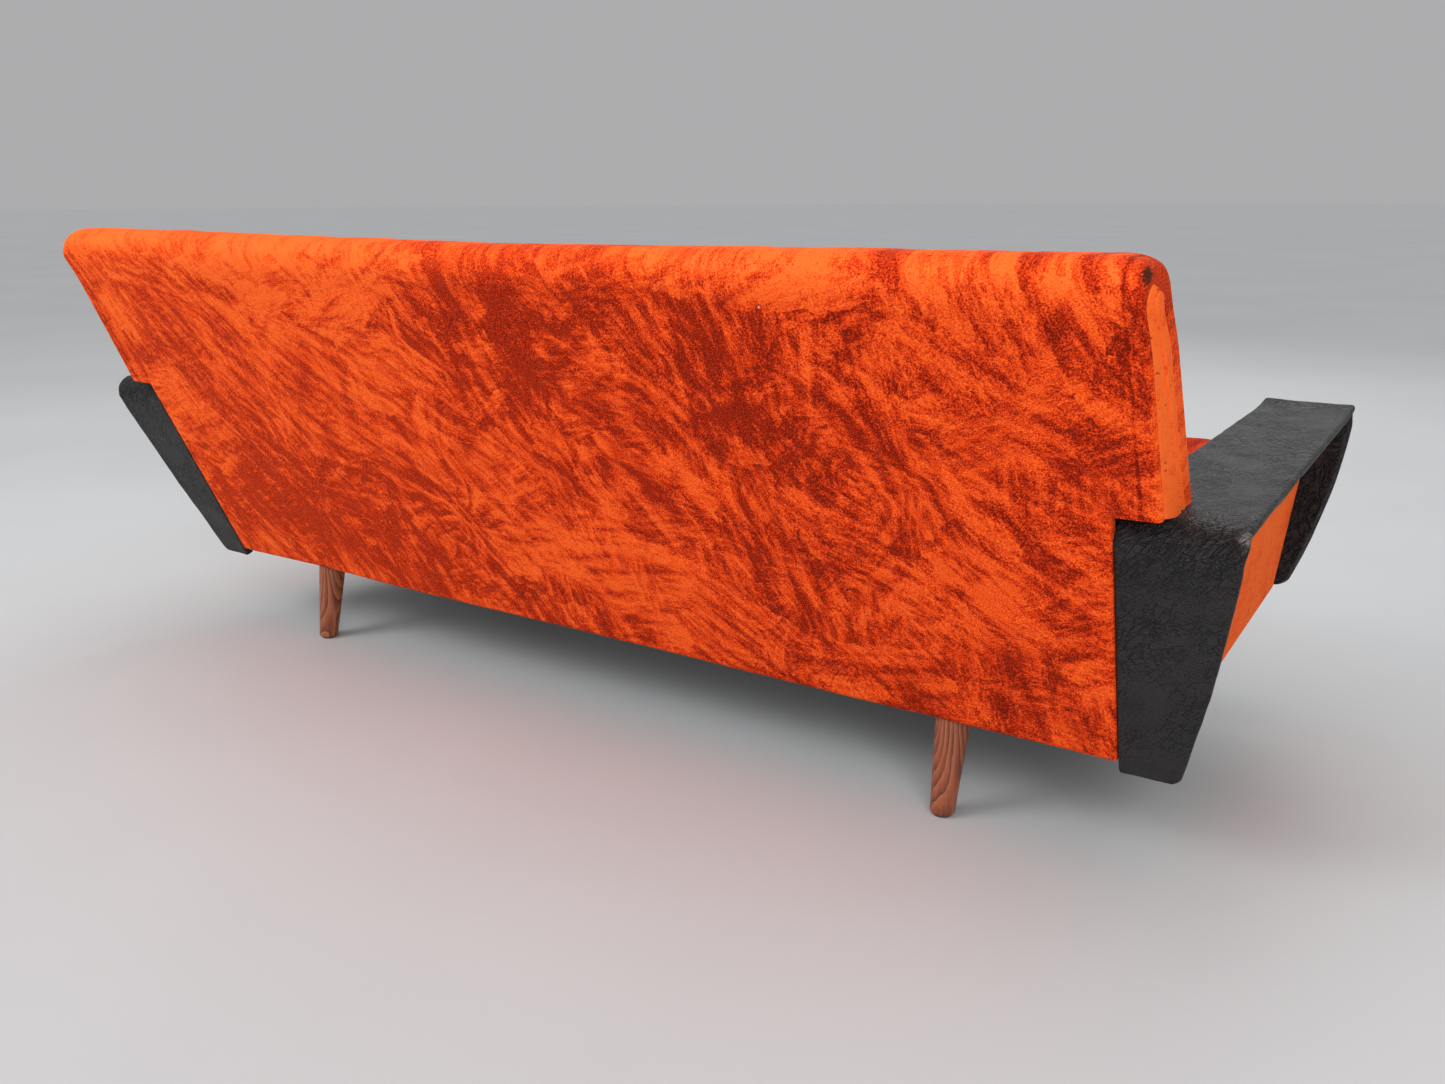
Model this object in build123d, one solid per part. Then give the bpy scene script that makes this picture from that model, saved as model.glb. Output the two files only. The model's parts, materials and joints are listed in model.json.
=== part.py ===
from build123d import *
import math
import os

# Three-seat lounge sofa: a raked upholstered box on four turned legs, with a tight leaning back,
# arms of leatherette-covered boards and three loose seat cushions.
# Millimetres. +Z up, +X to the sitter's left, the sofa faces -Y, the floor is z = 0.
# While it is built, y = 0 is the lower rear edge of the seat box. It is centred at the end.

# Overall form
REAR_CLEARANCE = 138.0      # floor to the lower rear edge of the seat box
RAKE = 5.6                  # the seat box rises towards the front, degrees
LEAN = 23.1                 # outside back from the vertical, degrees
INSIDE_LEAN = 26.6          # inside back from the vertical, degrees
BOX_DEPTH = 661.0           # rear edge to front face, along the rake
BACK_HEIGHT = 760.0         # floor to the top of the back
BACK_HALF_LOW = 933.0       # half width of the upper back where it meets the arms
BACK_HALF_TOP = 925.0       # and at its top
BACK_THICKNESS = 108.5      # of the back beside the arm tops, square to the outside back
INNER_HALF = 864.0          # half the clear width between the arms
PANEL_HALF_LOW = 865.0      # half width of the outside back at the bottom
PANEL_HALF_HIGH = 878.0     # and just under the arm tops
COVER = 3.0                 # velvet with its wadding
EAR_GAP = 3.0               # the upper back stands this far above the arm tops

# Arms
ARM_REAR_HEIGHT = 482.0     # top surface, on the plane of the outside back
ARM_FRONT_HEIGHT = 502.0    # top surface, on the front face
ARM_INNER = 866.0           # inner edge of the arm top
ARM_HALF_REAR = 1020.0      # outer edge of the arm top at the rear
ARM_HALF_FRONT = 997.0      # and at the front
HIDE = 2.0                  # leatherette
ARM_PAD = 5.0
ARM_BOARD = 9.0
ARM_SLAB = 2 * HIDE + ARM_PAD + ARM_BOARD
WING_BOARD = 12.0
WING = WING_BOARD + 2 * HIDE
REAR_WING_FOOT = 944.0      # outer edge of the rear wing at its lower end
REAR_WING_DROP = 19.6       # the rear wing hangs below the outside back by this
FRONT_WING_FOOT = 925.0     # outer edge of the front wing at its lower end
REAR_BULGE = 6.0            # the outer edges of the wings swell by this at mid height
FRONT_BULGE = 12.0
WING_CORNER = 14.0
REAR_BEND = 30.0            # the leatherette turns down over the rear and the front
FRONT_BEND = 22.0
ARM_LINING = 4.0            # velvet on the inside of the arm
ARM_WALL = 10.0             # inner plywood wall
PANEL_FOOT = 905.0          # outside of the recessed side panel, at the bottom
PANEL_FLARE = 0.128         # it leans out this much per mm of height
SIDE_PANEL = 5.0
SIDE_WALL = 6.0
SILL_HEIGHT = 28.0

# Seat box, heights above its bottom
DUST_COVER = 1.0
RAIL_HIGH = 110.0
RAIL = 28.0                 # timber thickness
FRONT_BORDER = 6.0
CROSS_RAIL = 35.0
CROSS_RAIL_WIDTH = 100.0
CORNER_BLOCK = 60.0
CORNER_BLOCK_HEIGHT = 45.0
SCREW_D = 4.0
SCREW_LENGTH = 60.0
WEBBING = 2.5
STRAP_WIDTH = 50.0
SEAT_STRAPS = 12
DECK_CLOTH = 1.5
DECK = RAIL_HIGH + WEBBING + DECK_CLOTH
STAPLE = (10.0, 1.2, 0.8)
STAPLES_PER_RAIL = 18

# Back frame, depths square to the outside back
BACK_BOARD = 3.0            # hardboard behind the velvet
FRAME_REAR = COVER + BACK_BOARD
POST_FRONT = 34.0
RAIL_FRONT = 52.0
FOAM_REAR = RAIL_FRONT + WEBBING + 0.5
TOP_RAIL = (584.0, 628.0)   # from and to, up the outside back
WAIST_RAIL = (386.0, 430.0)
LOWER_RAIL = (124.0, 164.0)
EAR_HALF = 920.0            # half length of the rails that carry the ends of the upper back
MIDDLE_POST_X = 290.0
BACK_STRAPS = 11
FRONT_ROLL = 26.0           # the inside cover wraps this far round each end
TOP_EDGE = 30.0             # rounding of the long top edges

# Legs
LEG_X = 636.0
LEG_TOP_D = 49.0
LEG_FOOT_D = 33.0
LEG_SPLAY = 9.8             # degrees from the vertical, feet outwards at the front and rear
REAR_LEG_Y = -28.6          # axis where it enters the box
FRONT_LEG_Y = -574.0
FOOT_EDGE = 4.0
GLIDE = 2.5
GLIDE_D = 25.0
BOLT_D = 8.0
BOLT_UP = 30.0
BOLT_DOWN = 28.0

# Seat cushions
CUSHIONS = 3
CUSHION_TOP = 234.0         # above the bottom of the box
CUSHION_FRONT = 664.0
CUSHION_GAP = 3.0
CUSHION_BACK_GAP = 4.0
CUSHION_REST = 0.5
CUSHION_COVER = 2.0
ZIP = (440.0, 12.0, 1.2)

rake = math.radians(RAKE)
lean = math.radians(LEAN)
inside_lean = math.radians(INSIDE_LEAN)
SEAT = Pos(0, 0, REAR_CLEARANCE) * Rot(-RAKE, 0, 0)
BACK = Pos(0, 0, REAR_CLEARANCE) * Rot(-LEAN, 0, 0)
ARM_UP_BACK = (ARM_REAR_HEIGHT - REAR_CLEARANCE) / math.cos(lean)
TOP_UP_BACK = (BACK_HEIGHT - REAR_CLEARANCE) / math.cos(lean)
FRONT_RAIL_FACE = BOX_DEPTH - FRONT_BORDER
FRONT_RAIL_BACK = FRONT_RAIL_FACE - RAIL
parts = {}


# ---- lines of the side view, each a (y, z) point and a direction ----

def seat_line(height):
    """Along the rake, this far above the bottom of the seat box."""
    start = (height * math.sin(rake), REAR_CLEARANCE + height * math.cos(rake))
    return start, (-math.cos(rake), math.sin(rake))


def front_line(forward):
    """Square to the rake, this far forward of the lower rear edge."""
    start = (-forward * math.cos(rake), REAR_CLEARANCE + forward * math.sin(rake))
    return start, (math.sin(rake), math.cos(rake))


def back_point(depth, up):
    """A point this far inside the outside back and this far up it."""
    y = up * math.sin(lean) - depth * math.cos(lean)
    return y, REAR_CLEARANCE + up * math.cos(lean) + depth * math.sin(lean)


def back_line(depth):
    """Parallel to the outside back, this far inside it."""
    return back_point(depth, 0), (math.sin(lean), math.cos(lean))


def level(z):
    return (0.0, z), (1.0, 0.0)


def cross(first, second):
    """Where two lines of the side view meet."""
    (py, pz), (dy, dz) = first
    (qy, qz), (ey, ez) = second
    along = ((qy - py) * ez - (qz - pz) * ey) / (dy * ez - dz * ey)
    return py + along * dy, pz + along * dz


def arm_line(depth):
    """Parallel to the arm top, this far below it."""
    rear = cross(back_line(0), level(ARM_REAR_HEIGHT))
    front = cross(front_line(BOX_DEPTH), level(ARM_FRONT_HEIGHT))
    run, rise = rear[0] - front[0], rear[1] - front[1]
    length = math.hypot(run, rise)
    dy, dz = run / length, rise / length
    return (rear[0] + depth * dz, rear[1] - depth * dy), (dy, dz)


def inside_line(depth):
    """Parallel to the inside back, this far behind its surface."""
    base = cross(back_line(BACK_THICKNESS), arm_line(0))
    start = (base[0] + depth / math.cos(inside_lean), base[1])
    return start, (math.sin(inside_lean), math.cos(inside_lean))


def region(low, high, rear, front):
    """The four corners of the side view between two pairs of lines."""
    return [cross(low, rear), cross(low, front), cross(high, front), cross(high, rear)]


# ---- solids ----

def box(x0, x1, y0, y1, z0, z1):
    return Pos((x0 + x1) / 2, (y0 + y1) / 2, (z0 + z1) / 2) * Box(x1 - x0, y1 - y0, z1 - z0)


def seat_box(x0, x1, forward0, forward1, up0, up1):
    return SEAT * box(x0, x1, -forward1, -forward0, up0, up1)


def back_box(x0, x1, depth0, depth1, up0, up1):
    return BACK * box(x0, x1, -depth1, -depth0, up0, up1)


def prism(corners, x0, x1):
    """A closed side-view outline swept across the sofa."""
    face = make_face(Polyline(*corners, close=True))
    return extrude(Plane.YZ.offset(x0) * face, amount=x1 - x0)


def plate(frame, face, depth0, depth1):
    """An (x, up) outline of the seat box or the back, made thick forwards."""
    plane = Plane(origin=(0, -depth0, 0), x_dir=(1, 0, 0), z_dir=(0, -1, 0))
    return frame * extrude(plane * face, amount=depth1 - depth0)


def symmetric_face(corners):
    """A face from the corners of its +X half, bottom to top."""
    mirrored = [(-x, up) for x, up in reversed(corners)]
    return make_face(Polyline(*corners, *mirrored, close=True))


def both_sides(name, shape):
    parts[name + "_left"] = shape
    parts[name + "_right"] = mirror(shape, about=Plane.YZ)


def group(shapes):
    return Compound(children=[solid for shape in shapes for solid in shape.solids()])


def spread(count, half):
    """Evenly spaced places between -half and half."""
    return [-half + 2 * half * i / (count - 1) for i in range(count)]


# ---- seat box ----

def frame_screws():
    """Through each corner block into the side rail."""
    place = SEAT * Pos(0, -(FRONT_RAIL_BACK - CORNER_BLOCK / 2), 0)
    middle = INNER_HALF - RAIL - CORNER_BLOCK / 3
    low = RAIL_HIGH - CORNER_BLOCK_HEIGHT + 12.0
    screw = Rot(0, 90, 0) * Cylinder(SCREW_D / 2, SCREW_LENGTH)
    return group([place * Pos(side * middle, 0, up) * screw
                  for side in (-1, 1) for up in (low, RAIL_HIGH - 12.0)])


def seat_frame():
    rear = back_line(RAIL_FRONT)
    parts["front_rail"] = seat_box(-INNER_HALF, INNER_HALF, FRONT_RAIL_BACK, FRONT_RAIL_FACE,
                                   DUST_COVER, RAIL_HIGH)
    side = prism(region(seat_line(DUST_COVER), seat_line(RAIL_HIGH), rear, front_line(FRONT_RAIL_BACK)),
                 INNER_HALF - RAIL, INNER_HALF)
    parts["side_rails"] = group([rail - frame_screws() for rail in (side, mirror(side, about=Plane.YZ))])
    low, high = seat_line(DUST_COVER), seat_line(DUST_COVER + CROSS_RAIL)
    corners = region(low, high, rear, front_line(FRONT_RAIL_BACK))
    half = CROSS_RAIL_WIDTH / 2
    rails = [prism(corners, x - half, x + half) for x in (-LEG_X, 0.0, LEG_X)]
    parts["cross_rails"] = group([rail - leg_bolts() for rail in rails])


def corner_blocks():
    bottom = RAIL_HIGH - CORNER_BLOCK_HEIGHT
    outer = INNER_HALF - RAIL
    block = seat_box(outer - CORNER_BLOCK, outer, FRONT_RAIL_BACK - CORNER_BLOCK, FRONT_RAIL_BACK,
                     bottom, RAIL_HIGH)
    screws = frame_screws()
    parts["corner_blocks"] = group([block - screws, mirror(block, about=Plane.YZ) - screws])
    parts["frame_screws"] = screws


def seat_suspension():
    rear, front = back_line(POST_FRONT + 2.0), front_line(FRONT_RAIL_FACE)
    corners = region(seat_line(RAIL_HIGH), seat_line(RAIL_HIGH + WEBBING), rear, front)
    centres = spread(SEAT_STRAPS, INNER_HALF - RAIL - STRAP_WIDTH)
    parts["seat_webbing"] = group([prism(corners, x - STRAP_WIDTH / 2, x + STRAP_WIDTH / 2) for x in centres])
    corners = region(seat_line(RAIL_HIGH + WEBBING), seat_line(DECK), rear, front)
    parts["deck_cloth"] = prism(corners, -INNER_HALF, INNER_HALF)
    parts["front_border"] = seat_box(-INNER_HALF, INNER_HALF, FRONT_RAIL_FACE, BOX_DEPTH, 0, DECK)


def underside():
    corners = region(seat_line(0), seat_line(DUST_COVER), back_line(FRAME_REAR), front_line(FRONT_RAIL_FACE))
    sheet = prism(corners, -INNER_HALF, INNER_HALF)
    for x, y in leg_places():
        sheet -= SEAT * Pos(x, y / math.cos(rake), 0) * Cylinder(LEG_TOP_D / 2 + 4.0, 20.0)
    parts["dust_cover"] = sheet
    width, breadth, height = STAPLE
    staples = []
    places = [x for x in spread(STAPLES_PER_RAIL, INNER_HALF - 24.0) if abs(abs(x) - LEG_X) > LEG_TOP_D]
    for x in places:
        for forward in (24.0, FRONT_RAIL_FACE - RAIL / 2):
            staples.append(seat_box(x - width / 2, x + width / 2, forward, forward + breadth, -height, 0))
    parts["dust_cover_staples"] = group(staples)


# ---- legs ----

def leg_places():
    return [(x, y) for y in (REAR_LEG_Y, FRONT_LEG_Y) for x in (LEG_X, -LEG_X)]


def box_height(y):
    """Floor to the bottom of the seat box."""
    return REAR_CLEARANCE - y * math.tan(rake)


def leg_frame(x, y):
    """Origin on the bottom of the box, Z up the leg."""
    splay = LEG_SPLAY if y == REAR_LEG_Y else -LEG_SPLAY
    return Pos(x, y, box_height(y)) * Rot(splay, 0, 0)


def leg_bolt(x, y):
    return leg_frame(x, y) * Pos(0, 0, (BOLT_UP - BOLT_DOWN) / 2) * Cylinder(BOLT_D / 2, BOLT_UP + BOLT_DOWN)


def leg_bolts():
    return group([leg_bolt(x, y) for x, y in leg_places()])


def leg(x, y):
    """A straight taper, cut level at the foot and along the rake at the head."""
    length = box_height(y) / math.cos(math.radians(LEG_SPLAY))
    spare = 12.0
    gain = (LEG_TOP_D - LEG_FOOT_D) / 2 / length * spare
    cone = Cone(LEG_FOOT_D / 2 - gain, LEG_TOP_D / 2 + gain, length + 2 * spare)
    body = leg_frame(x, y) * Pos(0, 0, -length / 2) * cone
    body -= Pos(x, y, GLIDE - 50.0) * Box(200, 200, 100)
    body -= SEAT * Pos(x, y / math.cos(rake), DUST_COVER + 50.0) * Box(200, 200, 100)
    foot = body.faces().sort_by(Axis.Z)[0].edges()
    return fillet(foot, FOOT_EDGE) - leg_bolt(x, y)


def legs():
    names = ("leg_rear_left", "leg_rear_right", "leg_front_left", "leg_front_right")
    glides = []
    for name, (x, y) in zip(names, leg_places()):
        parts[name] = leg(x, y)
        foot = parts[name].faces().sort_by(Axis.Z)[0].center()
        glides.append(Pos(foot.X, foot.Y, GLIDE / 2) * Cylinder(GLIDE_D / 2, GLIDE))
    parts["leg_glides"] = group(glides)
    parts["leg_bolts"] = leg_bolts()


# ---- back ----

def back_frame():
    rear, mid, front = back_line(FRAME_REAR), back_line(POST_FRONT), back_line(RAIL_FRONT)
    bottom = prism(region(seat_line(DUST_COVER), seat_line(RAIL_HIGH), rear, front), -INNER_HALF, INNER_HALF)
    parts["back_bottom_rail"] = bottom - leg_bolts()
    parts["back_lower_rail"] = back_box(-INNER_HALF, INNER_HALF, POST_FRONT, RAIL_FRONT, *LOWER_RAIL)
    parts["back_waist_rail"] = back_box(-EAR_HALF, EAR_HALF, POST_FRONT, RAIL_FRONT, *WAIST_RAIL)
    parts["back_top_rail"] = back_box(-EAR_HALF, EAR_HALF, FRAME_REAR, RAIL_FRONT, *TOP_RAIL)
    post = [cross(seat_line(RAIL_HIGH), rear), cross(seat_line(RAIL_HIGH), mid),
            back_point(POST_FRONT, TOP_RAIL[0]), back_point(FRAME_REAR, TOP_RAIL[0])]
    end = INNER_HALF - 2.0 - RAIL / 2
    parts["back_posts"] = group([prism(post, x - RAIL / 2, x + RAIL / 2)
                                 for x in (-end, -MIDDLE_POST_X, MIDDLE_POST_X, end)])
    ear = back_box(EAR_HALF - RAIL, EAR_HALF, FRAME_REAR, POST_FRONT, WAIST_RAIL[0], TOP_RAIL[0])
    parts["ear_posts"] = group([ear, mirror(ear, about=Plane.YZ)])
    straps = [back_box(x - STRAP_WIDTH / 2, x + STRAP_WIDTH / 2, RAIL_FRONT, RAIL_FRONT + WEBBING,
                       LOWER_RAIL[0] + 4.0, TOP_RAIL[1] - 8.0)
              for x in spread(BACK_STRAPS, INNER_HALF - 70.0)]
    parts["back_webbing"] = group(straps)


def upper_hull(inset):
    """The upper back above the arms, its long top edges rounded, this far inside its surface."""
    low = arm_line(-EAR_GAP - inset)
    block = prism(region(low, level(BACK_HEIGHT - inset), back_line(inset), inside_line(inset)),
                  -BACK_HALF_LOW, BACK_HALF_LOW)
    ends = symmetric_face([(BACK_HALF_LOW - inset, ARM_UP_BACK - 80), (BACK_HALF_LOW - inset, ARM_UP_BACK),
                           (BACK_HALF_TOP - inset, TOP_UP_BACK), (BACK_HALF_TOP - inset, TOP_UP_BACK + 40)])
    block &= plate(BACK, ends, -50, 200)
    long_edges = block.edges().filter_by(Axis.X).sort_by(Axis.Z)[-2:]
    return fillet(long_edges, TOP_EDGE - inset)


def outside_back():
    ear = ARM_UP_BACK + 8.0
    board = symmetric_face([(PANEL_HALF_LOW - 3, 3), (PANEL_HALF_HIGH - 3, ear), (BACK_HALF_LOW - 5, ear),
                            (EAR_HALF, TOP_RAIL[1])])
    parts["outside_back_board"] = plate(BACK, board, COVER, FRAME_REAR)
    lower = symmetric_face([(PANEL_HALF_LOW, 0), (PANEL_HALF_HIGH, ARM_UP_BACK + EAR_GAP + 2)])
    slab = back_box(-BACK_HALF_LOW, BACK_HALF_LOW, 0, COVER, 0, TOP_UP_BACK)
    parts["outside_back_cover"] = plate(BACK, lower, 0, COVER) + (upper_hull(0) & slab)


def back_upholstery():
    outer, inner = upper_hull(0), upper_hull(COVER)
    deck, ears = seat_line(DECK), arm_line(-EAR_GAP - COVER)
    half = INNER_HALF - 1.0
    lower = prism(region(deck, ears, back_line(COVER), inside_line(COVER)), -half, half)
    filling = inner + lower
    foam_zone = prism(region(deck, level(BACK_HEIGHT + 10), back_line(FOAM_REAR), front_line(BOX_DEPTH)),
                      -BACK_HALF_LOW, BACK_HALF_LOW)
    parts["inside_back_foam"] = filling & foam_zone
    pad_zone = back_box(-BACK_HALF_LOW, BACK_HALF_LOW, COVER, FOAM_REAR, TOP_RAIL[1], TOP_UP_BACK + 20)
    parts["back_top_pad"] = inner & pad_zone
    skin = outer - inner - lower - parts["outside_back_cover"] - parts["outside_back_board"]
    lower_skin = prism(region(deck, arm_line(-EAR_GAP), inside_line(COVER), inside_line(0)), -half, half)
    ends = prism(region(arm_line(0), level(BACK_HEIGHT + 10), back_line(COVER), inside_line(FRONT_ROLL)),
                 BACK_HALF_TOP - COVER - 1.0, BACK_HALF_LOW)
    under = prism(region(arm_line(0), ears, back_line(COVER), inside_line(FRONT_ROLL)),
                  half, BACK_HALF_LOW)
    strip = skin & (ends + under)
    both_sides("end_boxing", strip)
    parts["inside_back_cover"] = skin - strip - parts["end_boxing_right"] + lower_skin


# ---- arms, built for the left and mirrored ----

def wing_face(inner_low, inner_high, foot, head, low, high, bulge, inset):
    """An (x, up) outline: straight inner edge, swelling outer edge, rounded lower outer corner."""
    middle = ((foot + head) / 2 + bulge, (low + high) / 2)
    edges = Polyline((foot, low), (inner_low, low), (inner_high, high), (head, high))
    face = make_face(edges + ThreePointArc((head, high), middle, (foot, low)))
    corner = face.vertices().sort_by_distance((foot, low))[0]
    face = fillet(corner, WING_CORNER)
    return offset(face, -inset) if inset else face


def rear_wing(inset):
    inner = 1.0
    face = wing_face(PANEL_HALF_LOW + inner, PANEL_HALF_HIGH + inner, REAR_WING_FOOT, ARM_HALF_REAR,
                     -REAR_WING_DROP, ARM_UP_BACK, REAR_BULGE, inset)
    return plate(BACK, face, inset, WING - inset)


def front_wing(inset):
    top = math.hypot(*(a - b for a, b in zip(cross(front_line(BOX_DEPTH), arm_line(0)),
                                             cross(front_line(BOX_DEPTH), seat_line(0)))))
    face = wing_face(ARM_INNER, ARM_INNER, FRONT_WING_FOOT, ARM_HALF_FRONT, 0, top, FRONT_BULGE, inset)
    return plate(SEAT, face, BOX_DEPTH - WING + inset, BOX_DEPTH - inset)


def arm_slab(top, bottom, inset):
    """A layer of the arm top between two depths, this far inside its edges."""
    corners = region(arm_line(bottom), arm_line(top), back_line(inset), front_line(BOX_DEPTH - inset))
    rear_y, front_y = corners[3][0], corners[2][0]
    taper = (ARM_HALF_REAR - ARM_HALF_FRONT) / (rear_y - front_y)
    spare = 200.0
    plan = make_face(Polyline((ARM_INNER + inset, front_y - spare), (ARM_INNER + inset, rear_y + spare),
                              (ARM_HALF_REAR - inset + taper * spare, rear_y + spare),
                              (ARM_HALF_FRONT - inset - taper * spare, front_y - spare), close=True))
    return prism(corners, ARM_INNER, ARM_HALF_REAR + 20) & extrude(plan, amount=BACK_HEIGHT)


def leaning_wall(outside, thickness, low, high):
    """An (x, up) strip that leans out with the side panel."""
    flare = PANEL_FLARE
    face = make_face(Polyline((outside + flare * low - thickness, low), (outside + flare * low, low),
                              (outside + flare * high, high), (outside + flare * high - thickness, high),
                              close=True))
    return plate(SEAT, face, -250, BOX_DEPTH)


def arm_envelope(inset):
    """Everything under the arm top and between the rear and front planes, the two bends rounded."""
    corners = region(level(0), arm_line(inset), back_line(inset), front_line(BOX_DEPTH - inset))
    face = make_face(Polyline(*corners, close=True))
    rear = face.vertices().sort_by_distance(corners[3])[0]
    face = fillet(rear, REAR_BEND - inset)
    front = face.vertices().sort_by_distance(corners[2])[0]
    face = fillet(front, FRONT_BEND - inset)
    return extrude(Plane.YZ.offset(800) * face, amount=300)


def arms():
    outside, inside = arm_envelope(0), arm_envelope(HIDE)
    below_board = prism(region(level(0), arm_line(ARM_SLAB - HIDE), back_line(-5), front_line(BOX_DEPTH + 5)),
                        800, 1100)
    board = arm_slab(HIDE + ARM_PAD, ARM_SLAB - HIDE, HIDE)
    pad = arm_slab(HIDE, HIDE + ARM_PAD, HIDE)
    rear_board, front_board = rear_wing(HIDE) & below_board, front_wing(HIDE) & below_board
    back_clear = symmetric_face([(PANEL_HALF_LOW + 0.5, -5), (PANEL_HALF_HIGH + 0.5, ARM_UP_BACK + 5)])
    clearance = plate(BACK, back_clear, -1, FRAME_REAR + 0.5)
    board, pad = (board - clearance) & inside, (pad - clearance) & inside
    rear_board, front_board = rear_board & inside, front_board & inside
    hull = (arm_slab(0, ARM_SLAB, 0) + rear_wing(0) + front_wing(0)) & outside
    cover = hull - clearance - board - pad - rear_board - front_board
    both_sides("arm_cover", cover)
    both_sides("arm_pad", pad)
    both_sides("arm_board", board)
    both_sides("rear_wing_board", rear_board)
    both_sides("front_wing_board", front_board)


def arm_sides():
    rear, front = back_line(WING), front_line(BOX_DEPTH - WING)
    side = region(seat_line(0), arm_line(ARM_SLAB), rear, front)
    raised = region(seat_line(DUST_COVER), arm_line(ARM_SLAB), rear, front)
    wall_inner, wall_outer = INNER_HALF + ARM_LINING, INNER_HALF + ARM_LINING + ARM_WALL
    both_sides("arm_lining", prism(side, INNER_HALF, wall_inner))
    both_sides("arm_wall", prism(raised, wall_inner, wall_outer))
    panel = leaning_wall(PANEL_FOOT, SIDE_PANEL, -10, 420) & prism(side, 800, 1100)
    both_sides("side_panel", panel)
    backing = leaning_wall(PANEL_FOOT - SIDE_PANEL, SIDE_WALL, -10, 420) & prism(raised, 800, 1100)
    both_sides("side_wall", backing)
    inner_face = PANEL_FOOT - SIDE_PANEL - SIDE_WALL
    low, high = DUST_COVER, DUST_COVER + SILL_HEIGHT
    sill = make_face(Polyline((wall_outer, low), (inner_face + PANEL_FLARE * low, low),
                              (inner_face + PANEL_FLARE * high, high), (wall_outer, high), close=True))
    both_sides("arm_sill", plate(SEAT, sill, -250, BOX_DEPTH) & prism(raised, 800, 1100))


# ---- seat cushions ----

def cushions():
    half = INNER_HALF - CUSHION_GAP
    width = (2 * half - (CUSHIONS - 1) * CUSHION_GAP) / CUSHIONS
    low = DECK + CUSHION_REST
    rear = -CUSHION_BACK_GAP
    skin = CUSHION_COVER
    outer = region(seat_line(low), seat_line(CUSHION_TOP), inside_line(rear), front_line(CUSHION_FRONT))
    inner = region(seat_line(low + skin), seat_line(CUSHION_TOP - skin), inside_line(rear - skin),
                   front_line(CUSHION_FRONT - skin))
    zip_length, zip_height, zip_thick = ZIP
    middle = (low + CUSHION_TOP) / 2
    zip_side = region(seat_line(middle - zip_height / 2), seat_line(middle + zip_height / 2),
                      inside_line(rear + zip_thick), inside_line(rear))
    for i, name in enumerate(("right", "middle", "left")):
        x0 = -half + i * (width + CUSHION_GAP)
        x1 = x0 + width
        core = prism(inner, x0 + skin, x1 - skin)
        centre = (x0 + x1) / 2
        parts["cushion_foam_" + name] = core
        parts["cushion_cover_" + name] = prism(outer, x0, x1) - core
        parts["cushion_zip_" + name] = prism(zip_side, centre - zip_length / 2, centre + zip_length / 2)


def centred(shapes):
    """Every piece moved so that the origin is under the middle of the whole sofa."""
    whole = Compound(children=[solid for shape in shapes.values() for solid in shape.solids()])
    bounds = whole.bounding_box()
    shift = Pos(0, -(bounds.min.Y + bounds.max.Y) / 2, 0)
    return {name: shift * shape for name, shape in shapes.items()}


for build in (seat_frame, corner_blocks, seat_suspension, underside, legs, back_frame, outside_back,
              back_upholstery, arms, arm_sides, cushions):
    build()

os.makedirs("parts", exist_ok=True)
for name, shape in centred(parts).items():
    export_step(shape, f"parts/{name}.step")
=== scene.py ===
"""Three-seat lounge sofa: crushed velvet, leatherette arms and turned legs around the CAD frame."""
import json
import math

import bpy
import numpy as np
from mathutils import Matrix, Vector
from mathutils.bvhtree import BVHTree


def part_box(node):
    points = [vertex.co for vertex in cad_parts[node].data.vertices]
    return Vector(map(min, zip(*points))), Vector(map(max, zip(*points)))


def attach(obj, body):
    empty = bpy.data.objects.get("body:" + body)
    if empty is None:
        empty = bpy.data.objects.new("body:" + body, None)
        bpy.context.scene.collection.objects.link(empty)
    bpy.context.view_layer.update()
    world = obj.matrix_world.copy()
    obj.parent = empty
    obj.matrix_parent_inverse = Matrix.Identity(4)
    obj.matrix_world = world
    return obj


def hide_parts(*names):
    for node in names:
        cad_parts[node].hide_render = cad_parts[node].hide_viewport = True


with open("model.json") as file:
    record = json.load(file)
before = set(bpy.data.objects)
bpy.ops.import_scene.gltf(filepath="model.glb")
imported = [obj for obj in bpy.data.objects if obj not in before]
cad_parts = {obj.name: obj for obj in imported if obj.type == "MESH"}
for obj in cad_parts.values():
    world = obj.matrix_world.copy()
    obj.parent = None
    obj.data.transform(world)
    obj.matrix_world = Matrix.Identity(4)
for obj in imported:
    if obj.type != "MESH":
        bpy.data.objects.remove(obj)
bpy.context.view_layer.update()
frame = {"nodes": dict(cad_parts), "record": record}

# ---- the side view: metres, y backwards and z up ----

LEAN, RAKE, INSIDE_LEAN = math.radians(23.1), math.radians(5.6), math.radians(26.6)
BOX_DEPTH = 0.661
BACK_HEIGHT = 0.760
ARM_REAR_HEIGHT, ARM_FRONT_HEIGHT = 0.482, 0.502
BACK_THICKNESS = 0.1085
DECK = 0.114
CUSHION_TOP = 0.234
COVER = 0.003               # thickness of the outside back's velvet
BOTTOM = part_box("outside_back_cover")[0][2]
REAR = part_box("outside_back_cover")[0][1] + COVER * math.cos(LEAN)


def back_point(depth, up):
    """Depth inside the outside back, and distance up it."""
    y = REAR + up * math.sin(LEAN) - depth * math.cos(LEAN)
    return np.array([y, BOTTOM + up * math.cos(LEAN) + depth * math.sin(LEAN)])


def seat_point(forward, up):
    """Distance forward along the rake, and height square to it."""
    y = REAR - forward * math.cos(RAKE) + up * math.sin(RAKE)
    return np.array([y, BOTTOM + forward * math.sin(RAKE) + up * math.cos(RAKE)])


def cross(first, second):
    """Where two lines meet; each is a point and a direction."""
    (p, d), (q, e) = first, second
    along = ((q[0] - p[0]) * e[1] - (q[1] - p[1]) * e[0]) / (d[0] * e[1] - d[1] * e[0])
    return p + along * d


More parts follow.
